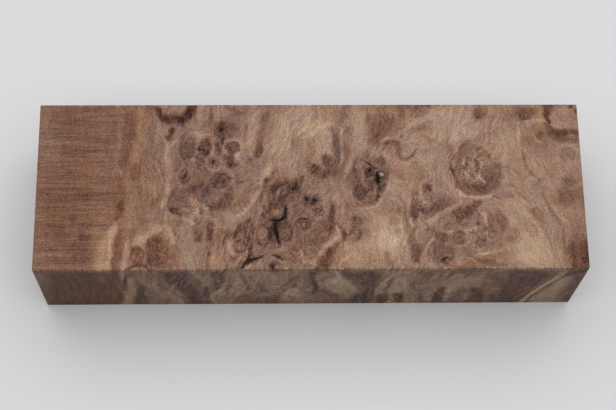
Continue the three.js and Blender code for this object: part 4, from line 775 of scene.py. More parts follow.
# Thin rings in the eyes: x, y, half length, half width, turn, half width of the line, tone, warmth, strength
LOOPS = [
    (-2.1, -9.8, 1.5, 1.4, 0, 0.35, 0.22, 0.1, 0.85),
    (-2.1, -9.8, 2.1, 2, 0, 0.25, 0.5, 0, 0.5),
    (-2.1, -9.8, 1.15, 1.1, 0, 0.2, 0.52, 0, 0.6),
    (-2.1, -9.8, 0.65, 0.6, 0, 0.2, 0.26, 0.1, 0.8),
    (-11.5, -12.6, 1.55, 2.5, -4, 0.35, 0.25, 0.3, 0.85),
    (-11.5, -12.6, 2.2, 3.2, -4, 0.25, 0.5, 0.1, 0.6),
    (-14.9, -12, 1.15, 3.3, 0, 0.3, 0.26, 0.35, 0.8),
    (-14.9, -12, 0.8, 2.7, 0, 0.18, 0.52, 0.1, 0.7),
    (-14.9, -12, 0.4, 2.1, 0, 0.25, 0.27, 0.35, 0.8),
    (-6, -11.6, 1.35, 2.3, 0, 0.28, 0.27, 0.1, 0.8),
    (1.5, -6.8, 1.7, 1.6, 0, 0.25, 0.56, 0, 0.6),
    (1.5, -6.8, 1, 0.9, 0, 0.25, 0.34, 0, 0.6),
    (-9.3, -20.2, 4.2, 2.8, 0, 0.3, 0.36, 0, 0.6),
    (-9.3, -20.2, 3.3, 2, 0, 0.3, 0.56, 0, 0.5),
    (-9.3, -20.2, 1.4, 1.1, 0, 0.25, 0.34, 0, 0.7),
    (11.6, -1.8, 2.1, 2.3, 0, 0.25, 0.52, 0, 0.6),
    (-29.6, 10, 2.2, 4, 0, 0.25, 0.56, -0.1, 0.5),
    (-25.2, 10, 1.9, 3, 0, 0.25, 0.6, 0, 0.6),
    (-26.3, 6.7, 1.1, 1.6, 0, 0.2, 0.27, 0.1, 0.5),
    (-23, 5.8, 0.9, 0.95, 0, 0.15, 0.5, 0, 0.6),
    (-23, 5.8, 1.7, 1.8, 0, 0.22, 0.58, 0, 0.6),
    (-18.6, 9.8, 1.6, 1.4, 0, 0.2, 0.22, 0.2, 0.7),
    (-18.6, 9.8, 2.1, 1.9, 0, 0.2, 0.6, 0, 0.7),
    (-19.5, 7.1, 1, 1.2, 0, 0.2, 0.24, 0.3, 0.5),
    (-30, 2.3, 0.8, 1.2, 0, 0.15, 0.5, -0.1, 0.6),
    (-30, 2.3, 1.7, 2.3, 0, 0.2, 0.56, 0, 0.6),
    (-21.6, 1.4, 1.4, 1.4, 0, 0.2, 0.46, -0.2, 0.5),
    (-21.6, 1.4, 2.6, 2.6, 0, 0.25, 0.58, 0, 0.6),
    (-25, -2.8, 1.5, 1.4, 0, 0.2, 0.28, 0, 0.5),
    (-31.4, -3.2, 2.4, 2.3, 0, 0.22, 0.33, 0.1, 0.5),
    (-23, -9.5, 1, 1.1, 0, 0.2, 0.66, 0.1, 0.8),
    (-16.8, -15.1, 1.4, 1.4, 0, 0.28, 0.27, 0.35, 0.85),
    (-16.8, -15.1, 2, 2, 0, 0.2, 0.52, 0.2, 0.6),
    (11.6, -1.8, 1.6, 1.9, 0, 0.25, 0.26, 0.1, 0.6),
    (13.9, 3.2, 1.5, 1.6, 0, 0.2, 0.55, 0, 0.6),
    (13.9, 3.2, 0.9, 1, 0, 0.2, 0.3, 0, 0.6),
    (16.9, 6.2, 0.9, 0.8, -30, 0.2, 0.3, 0.5, 0.7),
    (26.8, -6.6, 1.2, 1.2, 0, 0.2, 0.56, 0, 0.7),
    (26.8, -6.6, 0.6, 0.6, 0, 0.2, 0.3, 0, 0.7),
    (25.2, -4.6, 0.8, 0.7, 0, 0.18, 0.54, 0, 0.6),
    (30.8, -17.4, 3.1, 2.7, 0, 0.25, 0.54, 0, 0.6),
    (30.8, -17.4, 2.2, 1.9, 0, 0.2, 0.3, 0.1, 0.5),
    (30.8, -17.6, 1.3, 1.1, 0, 0.2, 0.48, 0, 0.5),
    (34.8, -13.2, 2, 1.9, 0, 0.2, 0.55, 0, 0.7),
    (34.8, -13.2, 1.4, 1.3, 0, 0.2, 0.33, 0.1, 0.7),
    (34.8, -13.2, 0.8, 0.7, 0, 0.18, 0.53, 0, 0.7),
    (24.4, -17, 1.2, 2.1, -6, 0.25, 0.3, 0.1, 0.6),
    (27.6, -0.9, 1.5, 1.5, 0, 0.2, 0.56, 0.1, 0.6),
    (61.9, 7.8, 2.6, 2.4, 0, 0.25, 0.6, -0.05, 0.6),
    (61.9, 7.8, 1.8, 1.6, 0, 0.2, 0.44, 0, 0.5),
    (39.6, -14.4, 1.7, 1.5, 0, 0.22, 0.56, 0, 0.6),
    (39.6, -14.4, 1, 0.9, 0, 0.2, 0.33, 0.1, 0.6),
    (42.4, -12.6, 1.4, 1.2, 0, 0.2, 0.55, 0, 0.6),
    (42.4, -12.6, 0.8, 0.7, 0, 0.2, 0.36, 0.1, 0.6),
    (37.4, -12.6, 1.2, 1.1, 0, 0.2, 0.55, 0, 0.5),
    (44, -9.3, 2.1, 3, 25, 0.25, 0.34, 0.1, 0.5),
    (39.4, 4.4, 4, 5, 0, 0.3, 0.37, 0.2, 0.4),
    (39.4, 4, 5, 6, 0, 0.3, 0.55, 0.1, 0.3),
    (-40.8, -17.2, 1.5, 2, 0, 0.25, 0.28, 0.6, 0.7),
    (-40.8, -17.4, 0.7, 1.1, 0, 0.2, 0.52, 0.5, 0.6),
    (-36.4, -16.4, 2.3, 3.6, 0, 0.3, 0.28, 0.7, 0.5),
    (-14.9, -11.2, 0.65, 2.3, -3, 0.25, 0.25, 0.4, 0.85),
]

# Bark pockets, as in the solid. Crevices: depth, then points x, y, width. Pits: x, y, radius, depth.
CREVICES = [
    (2.4, [(-6.1, -5.7, 0.3), (-6, -7.2, 0.55), (-6.6, -8.3, 0.5), (-8.2, -8.9, 0.4), (-10.1, -8.6, 0.25)]),
    (2.8, [(-8.5, -10, 0.5), (-8.4, -11.4, 1), (-8.2, -12.8, 0.7), (-7.7, -14.7, 0.2)]),
    (1.8, [(-16, -19.7, 0.3), (-15.2, -18.9, 0.75), (-13.6, -18.3, 0.4), (-11.6, -17.7, 0.2)]),
    (1, [(-9.1, -17.4, 0.2), (-8, -17.8, 0.4), (-6.9, -18.7, 0.2)]),
    (1.2, [(13.3, 5.9, 0.15), (14.5, 4.9, 0.3), (15.5, 4.2, 0.2)]),
    (2.2, [(15.7, 3.3, 0.4), (16, 2, 0.9), (15.9, 0.4, 0.45)]),
    (1, [(15.8, -1.9, 0.15), (15.7, -2.9, 0.3), (15.5, -3.9, 0.15)]),
    (1.2, [(30.2, -19.1, 0.2), (30.9, -18.7, 0.4), (31.7, -18.1, 0.2)]),
]
PITS = [
    (-9.2, -20.15, 0.4, 1.2),
    (14, 3.7, 0.4, 1.3),
    (-4.2, -0.9, 0.45, 0.9),
    (-1.2, -3.4, 0.4, 1.1),
    (0.7, -3.8, 0.45, 1.2),
    (-26.4, 9.1, 0.3, 0.8),
    (-21.3, 14.4, 0.35, 0.8),
    (39.2, -9.9, 0.3, 0.7),
]
BOTTOM_CREVICES = [
    (2, [(-11.3, -11.9, 0.25), (-11, -13.4, 0.8), (-10.2, -15, 0.5), (-8.9, -15.8, 0.2)]),
    (1.6, [(7.6, 6.5, 0.2), (8.6, 5.6, 0.6), (9.1, 4.1, 0.45), (8.8, 2.8, 0.2)]),
    (1.2, [(24.3, -12.6, 0.2), (25.4, -12.1, 0.45), (26.6, -12.3, 0.2)]),
]
BOTTOM_PITS = [
    (-6.4, -4.2, 0.45, 1.2),
    (-27.8, 7.4, 0.35, 0.9),
    (5.3, -7.5, 0.4, 1.1),
    (33.6, 1.8, 0.3, 0.8),
]
# Cracks that only show as colour: points x, y, half width
CRACKS = [
    [(57.1, 18, 0.12), (57.5, 16.8, 0.12), (58.2, 15.8, 0.1)],
    [(-3.8, 0.9, 0.08), (-3.6, -0.2, 0.25), (-3.9, -1.2, 0.2), (-4.6, -1.7, 0.08)],
    [(-3.5, -9.2, 0.08), (-2.6, -8.3, 0.15), (-1.3, -8.5, 0.1)],
    [(-6.1, -5.4, 0.12), (-5.8, -6, 0.15)],
    [(-15, -15.6, 0.05), (-14.8, -16.8, 0.14), (-15.2, -18.2, 0.18), (-15.7, -19.4, 0.14),
        (-16.4, -20.9, 0.12)],
    [(12.9, 6.2, 0.06), (13.9, 5.3, 0.1), (14.8, 4.6, 0.08)],
    [(15.6, 3.6, 0.1), (15.3, 2.2, 0.15), (15.5, 0.6, 0.2), (16.2, -0.4, 0.15), (15.8, -2, 0.08)],
    [(33.5, 4.6, 0.05), (33.9, 3.2, 0.12), (34.2, 2.2, 0.05)],
]

# Half width of the bark in a pocket, as a share of the pocket's width
BARK_SPREAD = 0.7

# How the spikes lean as they go down through the block: x, millimetres of x per mm of depth
THROUGH_LEANS = [(-65, 0), (-45, 0.1), (-34, 0.05), (-22, 0.3), (-5, 0), (6, -0.25), (18, 0.15), (35, 0.2),
    (57, 0.31)]


# How the figure is laid
CONTRAST = 1.25  # of the tones, about the middle tone
SIDE_CONTRAST = 0.3  # how much stronger the figure is on the sawn sides
PAINTED_SHEEN_STRENGTH = 0.02  # how much painted sheen and shade, from the lean of the growth, lightens or darkens the burl
WAVE_HEIGHT = 1.6  # brings the noise to about -1 to 1
LAYER_SHIFT = 17.3  # keeps the layers of noise apart
DRAWN_OUT = (1.0, 1.0, 0.4)  # the figure's noise is drawn out down the block
WANDER = 0.16  # how far the grain wanders sideways, per mm of depth
BURL_BEGINS = (-50.0, -34.0)  # where the plain end turns to burl, along the block
BURL_CALMS = (44.0, 52.0)  # and where it becomes calmer again
BROAD_SHIFT = (0.5, 0.2)  # how far the noise moves patches and streaks, in mm
SMALL_SHIFT = (0.25, 0.15)  # and spots, eyes and rings
FARTHEST_BARK = 2.0  # mm from a crack to the last place that knows of it
POCKET_REACH = 3.5  # mm below a face where its pockets' bark ends

# Layers of noise: the size of the largest waves in mm, the seed, how many layers, and how rough
BROAD_NOISE = [(4.5, 3, 3, 0.6), (4.5, 7, 3, 0.6)]
FINE_NOISE = [(1.7, 23), (1.7, 27)]
RAGGED_NOISE = (1.8, 19, 3, 0.65)
BURL_NOISE = (8.0, 11)
OLIVE_NOISE = (3.2, 47)
GROWTH_NOISE = (12.0, 31)
SMALL_GROWTH_NOISE = (4.6, 37)
WANDER_NOISE = [(15.0, 41), (15.0, 43)]
SHAKE_NOISE = (0.9, 71)

# Streaks on the sides that the photograph doesn't show: from, to, how many, range of tones, seed
BACK_STREAKS = (-46.0, 66.0, 75, (0.34, 0.66), 3)
LEFT_STREAKS = (-21.0, 21.0, 16, (0.36, 0.5), 5)
RIGHT_STREAKS = (-21.0, 21.0, 26, (0.34, 0.64), 8)

# A mark's edge: where it begins and ends to fade, in half widths, and how ragged it is
PATCH_EDGE = (0.3, 1.4, 0.3)
STREAK_EDGE = (0.4, 1.6, 0.25)
SPOT_EDGE = (0.6, 1.3, 0.25)
SIDE_EDGE = (0.5, 1.4, 0.25)


def smoothstep(low, high, value):
    t = np.clip((value - low) / (high - low), 0.0, 1.0)
    return t * t * (3.0 - 2.0 * t)


def waves(points, seed):
    """Smooth noise of about -1 to 1 at points in space, one wave to a unit."""
    random = np.random.default_rng(seed)
    table = random.permutation(256)
    arrows = random.normal(size=(256, 3))
    arrows /= np.linalg.norm(arrows, axis=1, keepdims=True)
    cell = np.floor(points).astype(int)
    inside = points - cell
    fade = inside ** 3 * (inside * (inside * 6.0 - 15.0) + 10.0)
    total = np.zeros(len(points))
    for corner in np.ndindex(2, 2, 2):
        spot = cell + corner
        drawn = table[(table[(table[spot[:, 0] & 255] + spot[:, 1]) & 255] + spot[:, 2]) & 255]
        slope = np.einsum("ij,ij->i", arrows[drawn], inside - corner)
        total += slope * np.prod(np.where(corner, fade, 1.0 - fade), axis=1)
    return total * WAVE_HEIGHT


def layers(points, size, seed, count=2, rough=0.5):
    """Several sizes of waves on top of each other, the largest of that size in millimetres."""
    total = np.zeros(len(points))
    weights = [rough ** i for i in range(count)]
    for i, weight in enumerate(weights):
        total += weight * waves(points / size * 2.0 ** i + LAYER_SHIFT * i, seed + i)
    return total / sum(weights)


def near_oval(u, v, x, y, half_length, half_width, turn, reach):
    """The places near an oval, and how far each is from its middle, 1 on its edge."""
    far = max(half_length, half_width) * reach
    near = np.flatnonzero((np.abs(u - x) < far) & (np.abs(v - y) < far))
    c, s = math.cos(math.radians(turn)), math.sin(math.radians(turn))
    along = (u[near] - x) * c + (v[near] - y) * s
    across = -(u[near] - x) * s + (v[near] - y) * c
    return near, np.hypot(along / half_length, across / half_width)


def rounded(points, steps=5):
    """A smooth curve through given points, with its half widths."""
    knots = np.array([points[0], *points, points[-1]], dtype=float)
    made = []
    for a, b, c, d in zip(knots[:-3], knots[1:-2], knots[2:-1], knots[3:]):
        for t in np.arange(steps) / steps:
            made.append(b + 0.5 * t * (c - a + t * (2 * a - 5 * b + 4 * c - d + t * (3 * (b - c) + d - a))))
    made.append(knots[-1])
    made = np.array(made)
    made[:, 2] = np.maximum(made[:, 2], 0.02)
    return made


def near_line(u, v, points, reach, least=0.0):
    """The places near a line, how far each is from it in half widths, the step to it and its half width."""
    path = rounded(points)
    far = max(reach * path[:, 2].max(), least)
    low, high = path[:, :2].min(axis=0) - far, path[:, :2].max(axis=0) + far
    near = np.flatnonzero((u > low[0]) & (u < high[0]) & (v > low[1]) & (v < high[1]))
    best = np.full(len(near), 1e9)
    step = np.zeros((len(near), 2))
    width = np.ones(len(near))
    for start, end in zip(path[:-1], path[1:]):
        run = end - start
        du, dv = u[near] - start[0], v[near] - start[1]
        t = np.clip((du * run[0] + dv * run[1]) / (run[0] ** 2 + run[1] ** 2 + 1e-9), 0.0, 1.0)
        half = start[2] + run[2] * t
        du, dv = du - run[0] * t, dv - run[1] * t
        d = np.hypot(du, dv) / half
        closer = d < best
        best[closer], width[closer] = d[closer], half[closer]
        step[closer, 0], step[closer, 1] = du[closer], dv[closer]
    return near, best, step, width


def columns(points):
    """Where the grain that passes through each place comes out in the top face."""
    x, y, z = points.T
    depth = THICKNESS - z
    lean = np.interp(x, *zip(*THROUGH_LEANS))
    wander_u, wander_v = (layers(points, *noise) for noise in WANDER_NOISE)
    return x + depth * (lean + WANDER * wander_u), y + depth * WANDER * wander_v


def growth(points, u, v, burl):
    """The growth coordinate in millimetres: its contours are the growth lines on every face."""
    lean = sum(slope * np.exp(-((u - x) / reach) ** 2) for x, reach, slope in LEANS)
    on_end = smoothstep(LENGTH / 2.0 - 0.25, LENGTH / 2.0 - 0.05, np.abs(points[:, 0]))
    ring = u + lean * v
    ring += v * on_end
    ring += (0.5 + 4.5 * burl) * layers(points, *GROWTH_NOISE)
    ring += 1.3 * burl * layers(points, *SMALL_GROWTH_NOISE)
    for x, y, half_length, half_width, turn, _, rings in EYES:
        near, d = near_oval(u, v, x, y, half_length, half_width, turn, 4.0)
        ring[near] += 2.0 * math.sqrt(half_length * half_width) * rings * np.exp(-(d / 1.3) ** 2)
    return ring


def unseen_streaks(low, high, count, tones, seed):
    """Streaks for a side that the photograph doesn't show. They run down the block, as they do in front."""
    random = np.random.default_rng(seed)
    streaks = []
    for middle in random.uniform(low, high, count):
        top, foot = random.uniform(12.0, 32.0), random.uniform(-4.0, 10.0)
        half, lean, bend = random.uniform(0.4, 1.9), random.normal(0.0, 1.6), random.normal(0.0, 0.8)
        line = [
            (middle + lean, top, 0.3 * half),
            (middle + 0.3 * lean + bend, 0.6 * top + 0.4 * foot, half),
            (middle - 0.3 * lean - bend, 0.3 * top + 0.7 * foot, 0.8 * half),
            (middle - lean, foot, 0.3 * half),
        ]
        streaks.append((random.uniform(*tones), random.uniform(-0.2, 0.6), 0.85, line))
    return streaks


def side_streaks(x, y):
    """For each side: how far across it the places lie, how deep below it, and the streaks that it shows."""
    return [
        (x, WIDTH / 2.0 + y, FRONT_STREAKS),
        (x, WIDTH / 2.0 - y, unseen_streaks(*BACK_STREAKS)),
        (y, LENGTH / 2.0 + x, unseen_streaks(*LEFT_STREAKS)),
        (y, LENGTH / 2.0 - x, unseen_streaks(*RIGHT_STREAKS)),
    ]


class BurlFigure:
    """The burl's figure at places in the block, in millimetres: each field has one value for each place."""

    def __init__(self, points):
        grain = points * DRAWN_OUT
        self.points = points
        self.u, self.v = columns(points)
        self.warp = [layers(grain, *noise) for noise in BROAD_NOISE]
        self.fray = [layers(grain, *noise) for noise in FINE_NOISE]
        self.ragged = layers(grain, *RAGGED_NOISE)
        self.burl = smoothstep(*BURL_BEGINS, self.u + 2.0 * layers(points, *BURL_NOISE))
        self.burl *= 1.0 - 0.3 * smoothstep(*BURL_CALMS, self.u)
        self.ring = growth(points, self.u, self.v, self.burl)
        self.tone = 0.5 + 0.05 * smoothstep(-10.0, 40.0, self.u)
        self.warmth = np.full(len(points), 0.1)
        self.olive = 0.6 * layers(grain, *OLIVE_NOISE) - 0.1
        self.curl = np.zeros(len(points))

    def moved(self, warp, fray):
        """The places in the top face, pushed about by the noise, so that the marks look grown."""
        pairs = zip((self.u, self.v), self.warp, self.fray)
        return [place + warp * broad + fray * fine for place, broad, fine in pairs]

    def inside(self, near, d, begins, ends, torn):
        """1 inside a mark and 0 outside it, with a soft and ragged edge."""
        return 1.0 - smoothstep(begins, ends, d + torn * self.ragged[near])

    def lay(self, near, tone, warmth, weight):
        """Moves the tone and the warmth of the places near a mark towards the mark's."""
        self.tone[near] += (tone - self.tone[near]) * weight
        self.warmth[near] += (warmth - self.warmth[near]) * weight

    def lay_ovals(self, marks, shift, edge):
        places = self.moved(*shift)
        for *oval, tone, warmth, strength in marks:
            near, d = near_oval(*places, *oval, 1.8)
            self.lay(near, tone, warmth, strength * self.inside(near, d, *edge))

    def lay_streaks(self):
        places = self.moved(*BROAD_SHIFT)
        for tone, warmth, strength, line in STREAKS:
            near, d, *_ = near_line(*places, line, 2.4)
            weight = strength * self.inside(near, d, *STREAK_EDGE)
            self.lay(near, tone, warmth, weight * np.clip(0.95 + 0.3 * self.ragged[near], 0.0, 1.05))

    def lay_eyes(self):
        """Each eye has a dark body with a rim and a heart, and a pale halo around it."""
        places = self.moved(*SMALL_SHIFT)
        for *oval, dark, _ in EYES:
            near, d = near_oval(*places, *oval, 2.2)
            d = d + 0.15 * self.ragged[near]
            body = 1.0 - smoothstep(0.6, 1.2, d)
            rim = np.exp(-((d - 0.85) / 0.2) ** 2)
            halo = np.exp(-((d - 1.4) / 0.22) ** 2)
            heart = 1.0 - smoothstep(0.1, 0.4, d)
            self.tone[near] += 0.05 * halo * (0.4 + dark) - dark * (0.14 * body + 0.06 * rim + 0.08 * heart)
            self.warmth[near] -= 0.15 * dark * body
            self.olive[near] += dark * body - 0.7 * halo * (0.3 + dark)

    def lay_loops(self):
        places = self.moved(*SMALL_SHIFT)
        for *oval, line, tone, warmth, strength in LOOPS:
            near, d = near_oval(*places, *oval, 1.9)
            ragged = self.ragged[near]
            off = (d - 1.0) * math.sqrt(oval[2] * oval[3]) + 0.15 * ragged
            weight = strength * np.exp(-(off / line) ** 2) * np.clip(0.9 + 0.5 * ragged, 0.0, 1.0)
            self.lay(near, tone, warmth, weight)

    def lay_side_streaks(self):
        """Each side's own streaks, which fade out below it. Gives how much stronger the figure is there."""
        x, y, z = self.points.T
        stronger = np.ones(len(z))
        for across, depth, streaks in side_streaks(x, y):
            hold = (1.0 - smoothstep(0.5, 5.0, depth)) * smoothstep(0.2, 2.5, THICKNESS - z)
            shown = np.flatnonzero(hold > 0.0)
            stronger[shown] += SIDE_CONTRAST * hold[shown]
            sway = 0.3 * self.warp[0][shown] + 0.2 * self.fray[0][shown]
            places = (across[shown] + sway, z[shown] + 0.7 * self.warp[1][shown])
            for tone, warmth, strength, line in streaks:
                near, d, *_ = near_line(*places, line, 2.4)
                near = shown[near]
                self.lay(near, tone, warmth, strength * hold[near] * self.inside(near, d, *SIDE_EDGE))
        return np.minimum(stronger, 1.0 + SIDE_CONTRAST)

    def painted_sheen_shade(self):
        """Painted sheen and shade from how the growth leans, as if lit from one side: from about -1 to 1."""
        step = 0.3
        rise_u = (growth(self.points + [step, 0, 0], self.u + step, self.v, self.burl) - self.ring) / step
        rise_v = (growth(self.points + [0, step, 0], self.u, self.v + step, self.burl) - self.ring) / step
        return np.tanh(0.33 * rise_u + 0.5 * rise_v - 0.21)

    def curl_fibres(self):
        places = self.moved(*SMALL_SHIFT)
        for *oval, strength in CURLY:
            near, d = near_oval(*places, *oval, 0.0, 1.4)
            self.curl[near] = np.maximum(self.curl[near], strength * (1.0 - smoothstep(0.6, 1.2, d)))


def burl_figure(points):
    """The burl's figure with every mark laid, each kind over the one before."""
    made = BurlFigure(points)
    made.lay_ovals(PATCHES, BROAD_SHIFT, PATCH_EDGE)
    made.lay_streaks()
    made.lay_ovals(SPOTS, SMALL_SHIFT, SPOT_EDGE)
    made.lay_eyes()
    made.lay_loops()
    stronger = made.lay_side_streaks()
    # painted sheen and shade: the burl is made lighter or darker as its growth leans
    made.tone = 0.5 + CONTRAST * stronger * (made.tone - 0.5) + PAINTED_SHEEN_STRENGTH * made.painted_sheen_shade() * made.burl
    made.curl_fibres()
    return made


def bark_arrow(points):
    """To the nearest crack, pocket or pit: the step with its half width, and the distance if it is near."""
    arrow = np.tile([1.4, 1.4, 0.1], (len(points), 1))
    gap = np.full(len(points), FARTHEST_BARK)
    shake = 0.2 * layers(points, *SHAKE_NOISE)
    x, y, z = points[:, 0] + shake, points[:, 1] - shake, points[:, 2]
    sides = ((CREVICES, PITS, CRACKS, THICKNESS - z), (BOTTOM_CREVICES, BOTTOM_PITS, [], z))
    for crevices, pits, cracks, depth in sides:
        shown = np.flatnonzero(depth < POCKET_REACH)
        fade = 1.0 - 0.9 * smoothstep(1.0, POCKET_REACH, depth)
        lines = [[(px, py, BARK_SPREAD * width) for px, py, width in run] for _, run in crevices]
        lines += [[(px, py, radius), (px + 0.01, py, radius)] for px, py, radius, _ in pits]
        for line in lines + cracks:
            near, _, step, half = near_line(x[shown], y[shown], line, 1.0, FARTHEST_BARK)
            place = shown[near]
            distance = np.hypot(step[:, 0], step[:, 1])
            closer = distance < gap[place]
            place = place[closer]
            gap[place] = distance[closer]
            arrow[place, :2] = step[closer]
            arrow[place, 2] = half[closer] * fade[place]
    return arrow, gap


# The block's mesh
CELLS = (312, 100, 39)  # along, across and through the block
ARRIS = 0.25  # the sanded rounding along every edge
WAVINESS = 0.02  # how far the sanding leaves the faces uneven
WAVES_PER_METRE = 110.0
CREASE_ANGLE = 28.0  # degrees, past which an edge looks sharp
NO_POCKET_PAST = (LENGTH / 2.0 - 0.5, WIDTH / 2.0 - 0.5)  # mm from the middle, along and across
BARK_WALL = (0.1, 0.7)  # mm below a face, where a pocket's wall turns to bark
POCKET_STEPS = 4
POCKET_LEVELS = [(0.5, 1.05), (0.0, 1.0), (-0.35, 0.85), (-0.75, 0.55), (-1.0, 0.2)]  # height, share of width

# Where each face of the block lies in the UV map, in mm on a square sheet:
# (axis it faces along, side): (axis across, axis up, left, bottom)
SHEET = 162.0
STRIPS = {
    (2, 1): (0, 1, 1.0, 1.0),
    (2, -1): (0, 1, 1.0, 44.0),
    (1, -1): (0, 2, 1.0, 87.0),
    (1, 1): (0, 2, 1.0, 116.0),
    (0, -1): (2, 1, 133.0, 1.0),
    (0, 1): (2, 1, 133.0, 44.0),
}


class Wiring:
    """A node tree that is wired up from the script."""

    def __init__(self, tree):
        self.tree = tree

    def add(self, kind, *inputs, **settings):
        """A node with its first sockets wired or set, and its settings made; gives its first output."""
        made = self.tree.nodes.new(kind)
        for name, value in settings.items():
            setattr(made, name, value)
        for socket, value in zip(made.inputs, inputs):
            self.set(socket, value)
        return made.outputs[0]

    def set(self, socket, value):
        if isinstance(value, bpy.types.NodeSocket):
            self.tree.links.new(value, socket)
        elif value is not None:
            socket.default_value = value

    def math(self, operation, *inputs, clamp=False):
        return self.add("ShaderNodeMath", *inputs, operation=operation, use_clamp=clamp)

    def times(self, first, second):
        return self.math("MULTIPLY", first, second)

    def linear(self, value, gain, offset, clamp=False):
        """The value times the gain, plus the offset."""
        return self.math("MULTIPLY_ADD", value, gain, offset, clamp=clamp)

    def vector(self, operation, *inputs):
        return self.add("ShaderNodeVectorMath", *inputs, operation=operation)

    def split(self, vector):
        return self.add("ShaderNodeSeparateXYZ", vector).node.outputs

    def join(self, x, y, z):
        return self.add("ShaderNodeCombineXYZ", x, y, z)

    def total(self, *terms):
        result = terms[0]
        for term in terms[1:]:
            result = self.math("ADD", result, term)
        return result

    def steps(self, value, low, high, start=0.0, end=1.0):
        """Eases from start to end while the value goes from low to high."""
        return self.add("ShaderNodeMapRange", value, low, high, start, end, interpolation_type="SMOOTHSTEP")


def node_group(kind, name, inputs, outputs):
    """A node group with named inputs and outputs: its tree, its wiring, its inputs and its outputs."""
    tree = bpy.data.node_groups.new(name, kind)
    for side, sockets in (("INPUT", inputs), ("OUTPUT", outputs)):
        for label, socket in sockets.items():
            tree.interface.new_socket(label, in_out=side, socket_type="NodeSocket" + socket)
    group, out = tree.nodes.new("NodeGroupInput"), tree.nodes.new("NodeGroupOutput")
    return tree, Wiring(tree), group.outputs, out.inputs


def drawn_to_edges(wire, place, size, arris, cells):
    """The cube's even places, moved so that its outermost cells are as wide as the arris."""
    moved = []
    for part, side, count in zip(wire.split(place), wire.split(size), cells):
        half = wire.times(side, 0.5)
        last_line = wire.math("SUBTRACT", half, wire.math("DIVIDE", side, count))
        flat = wire.math("SUBTRACT", half, arris)
        reach = wire.math("ABSOLUTE", part)
        inner = wire.add("ShaderNodeMapRange", reach, 0.0, last_line, 0.0, flat)
        outer = wire.add("ShaderNodeMapRange", reach, last_line, half, 0.0, arris)
        moved.append(wire.times(wire.math("SIGN", part), wire.math("ADD", inner, outer)))
    return wire.join(*moved)


def sawn_block_tree():
    """A cube of even cells, whose outermost cells shrink to a rounded arris."""
    inputs = {
        "Size": "Vector",
        "Cells Along": "Int",
        "Cells Across": "Int",
        "Cells Through": "Int",
        "Arris": "Float",
        "Waviness": "Float",
        "Material": "Material",
    }
    tree, wire, group, out = node_group("GeometryNodeTree", "sawn block", inputs, {"Geometry": "Geometry"})
    size, arris = group["Size"], group["Arris"]
    cells = [group[label] for label in ("Cells Along", "Cells Across", "Cells Through")]
    cube = wire.add("GeometryNodeMeshCube", size, *[wire.math("ADD", count, 1.0) for count in cells])
    place = wire.add("GeometryNodeInputPosition")
    spread = drawn_to_edges(wire, place, size, arris, cells)
    limit = wire.vector("SUBTRACT", wire.vector("SCALE", size, None, None, 0.5), arris)
    low_limit = wire.vector("SCALE", limit, None, None, -1.0)
    core = wire.vector("MAXIMUM", wire.vector("MINIMUM", spread, limit), low_limit)
    outwards = wire.vector("NORMALIZE", wire.vector("SUBTRACT", spread, core))
    noise = wire.add("ShaderNodeTexNoise", place, None, WAVES_PER_METRE, 2.0)
    sunk = wire.math("SUBTRACT", arris, wire.times(noise, group["Waviness"]))
    rounded_place = wire.vector("ADD", core, wire.vector("SCALE", outwards, None, None, sunk))
    lift = wire.join(0.0, 0.0, wire.times(wire.split(size)[2], 0.5))
    shaped = wire.add("GeometryNodeSetPosition", cube, None, wire.vector("ADD", rounded_place, lift))
    real = wire.add("GeometryNodeRealizeInstances", shaped)
    wire.set(out["Geometry"], wire.add("GeometryNodeSetMaterial", real, None, group["Material"]))
    return tree


def placed(name, data):
    """A new object in the scene."""
    made = bpy.data.objects.new(name, data)
    bpy.context.scene.collection.objects.link(made)
    return made


def apply(piece, modifier):
    """Replaces the piece's mesh with the plain mesh that its modifier makes."""
    seen = piece.evaluated_get(bpy.context.evaluated_depsgraph_get())
    mesh = bpy.data.meshes.new_from_object(seen)
    piece.modifiers.remove(modifier)
    piece.data = mesh


def grown(name, tree, values):
    """The piece that a Geometry Nodes tree makes with these values of its named inputs."""
    carrier = placed(name, bpy.data.meshes.new(name))
    modifier = carrier.modifiers.new("shape", "NODES")
    modifier.node_group = tree
    for item in tree.interface.items_tree:
        if item.in_out == "INPUT":
            modifier[item.identifier] = values[item.name]
    apply(carrier, modifier)
    return carrier


def pocket(run, depth, face, facing, random):
    """The corners and faces of a ragged hole along a run, open to the face and tapering below it."""
    path = rounded(run, POCKET_STEPS)
    heading = np.gradient(path[:, :2], axis=0)
    heading /= np.linalg.norm(heading, axis=1, keepdims=True)
    across = np.stack([-heading[:, 1], heading[:, 0]], axis=1)
    ends = np.sin(np.linspace(0.0, math.pi, len(path)))
    corners = []
    for (x, y, half), side, middle in zip(path, across, ends):
        ragged_half = half * random.uniform(0.8, 1.2, 2)
        sunk = depth * (0.35 + 0.65 * middle) * random.uniform(0.85, 1.0)
        ring = [(-1, *level) for level in POCKET_LEVELS] + [(1, *level) for level in POCKET_LEVELS[::-1]]
        for sign, height, share in ring:
            out = sign * ragged_half[(sign + 1) // 2] * share * random.uniform(0.92, 1.08)
            z = face + facing * (height * sunk if height < 0.0 else height)
            corners.append((x + side[0] * out, y + side[1] * out, z))
    count = 2 * len(POCKET_LEVELS)
    last = len(corners) - 1
    faces = [tuple(range(count)), tuple(range(last, last - count, -1))]
    for row in range(0, len(corners) - count, count):
        for i in range(count):
            j = (i + 1) % count
            faces.append((row + j, row + i, row + i + count, row + j + count))
    return corners, faces if facing > 0 else [face[::-1] for face in faces]


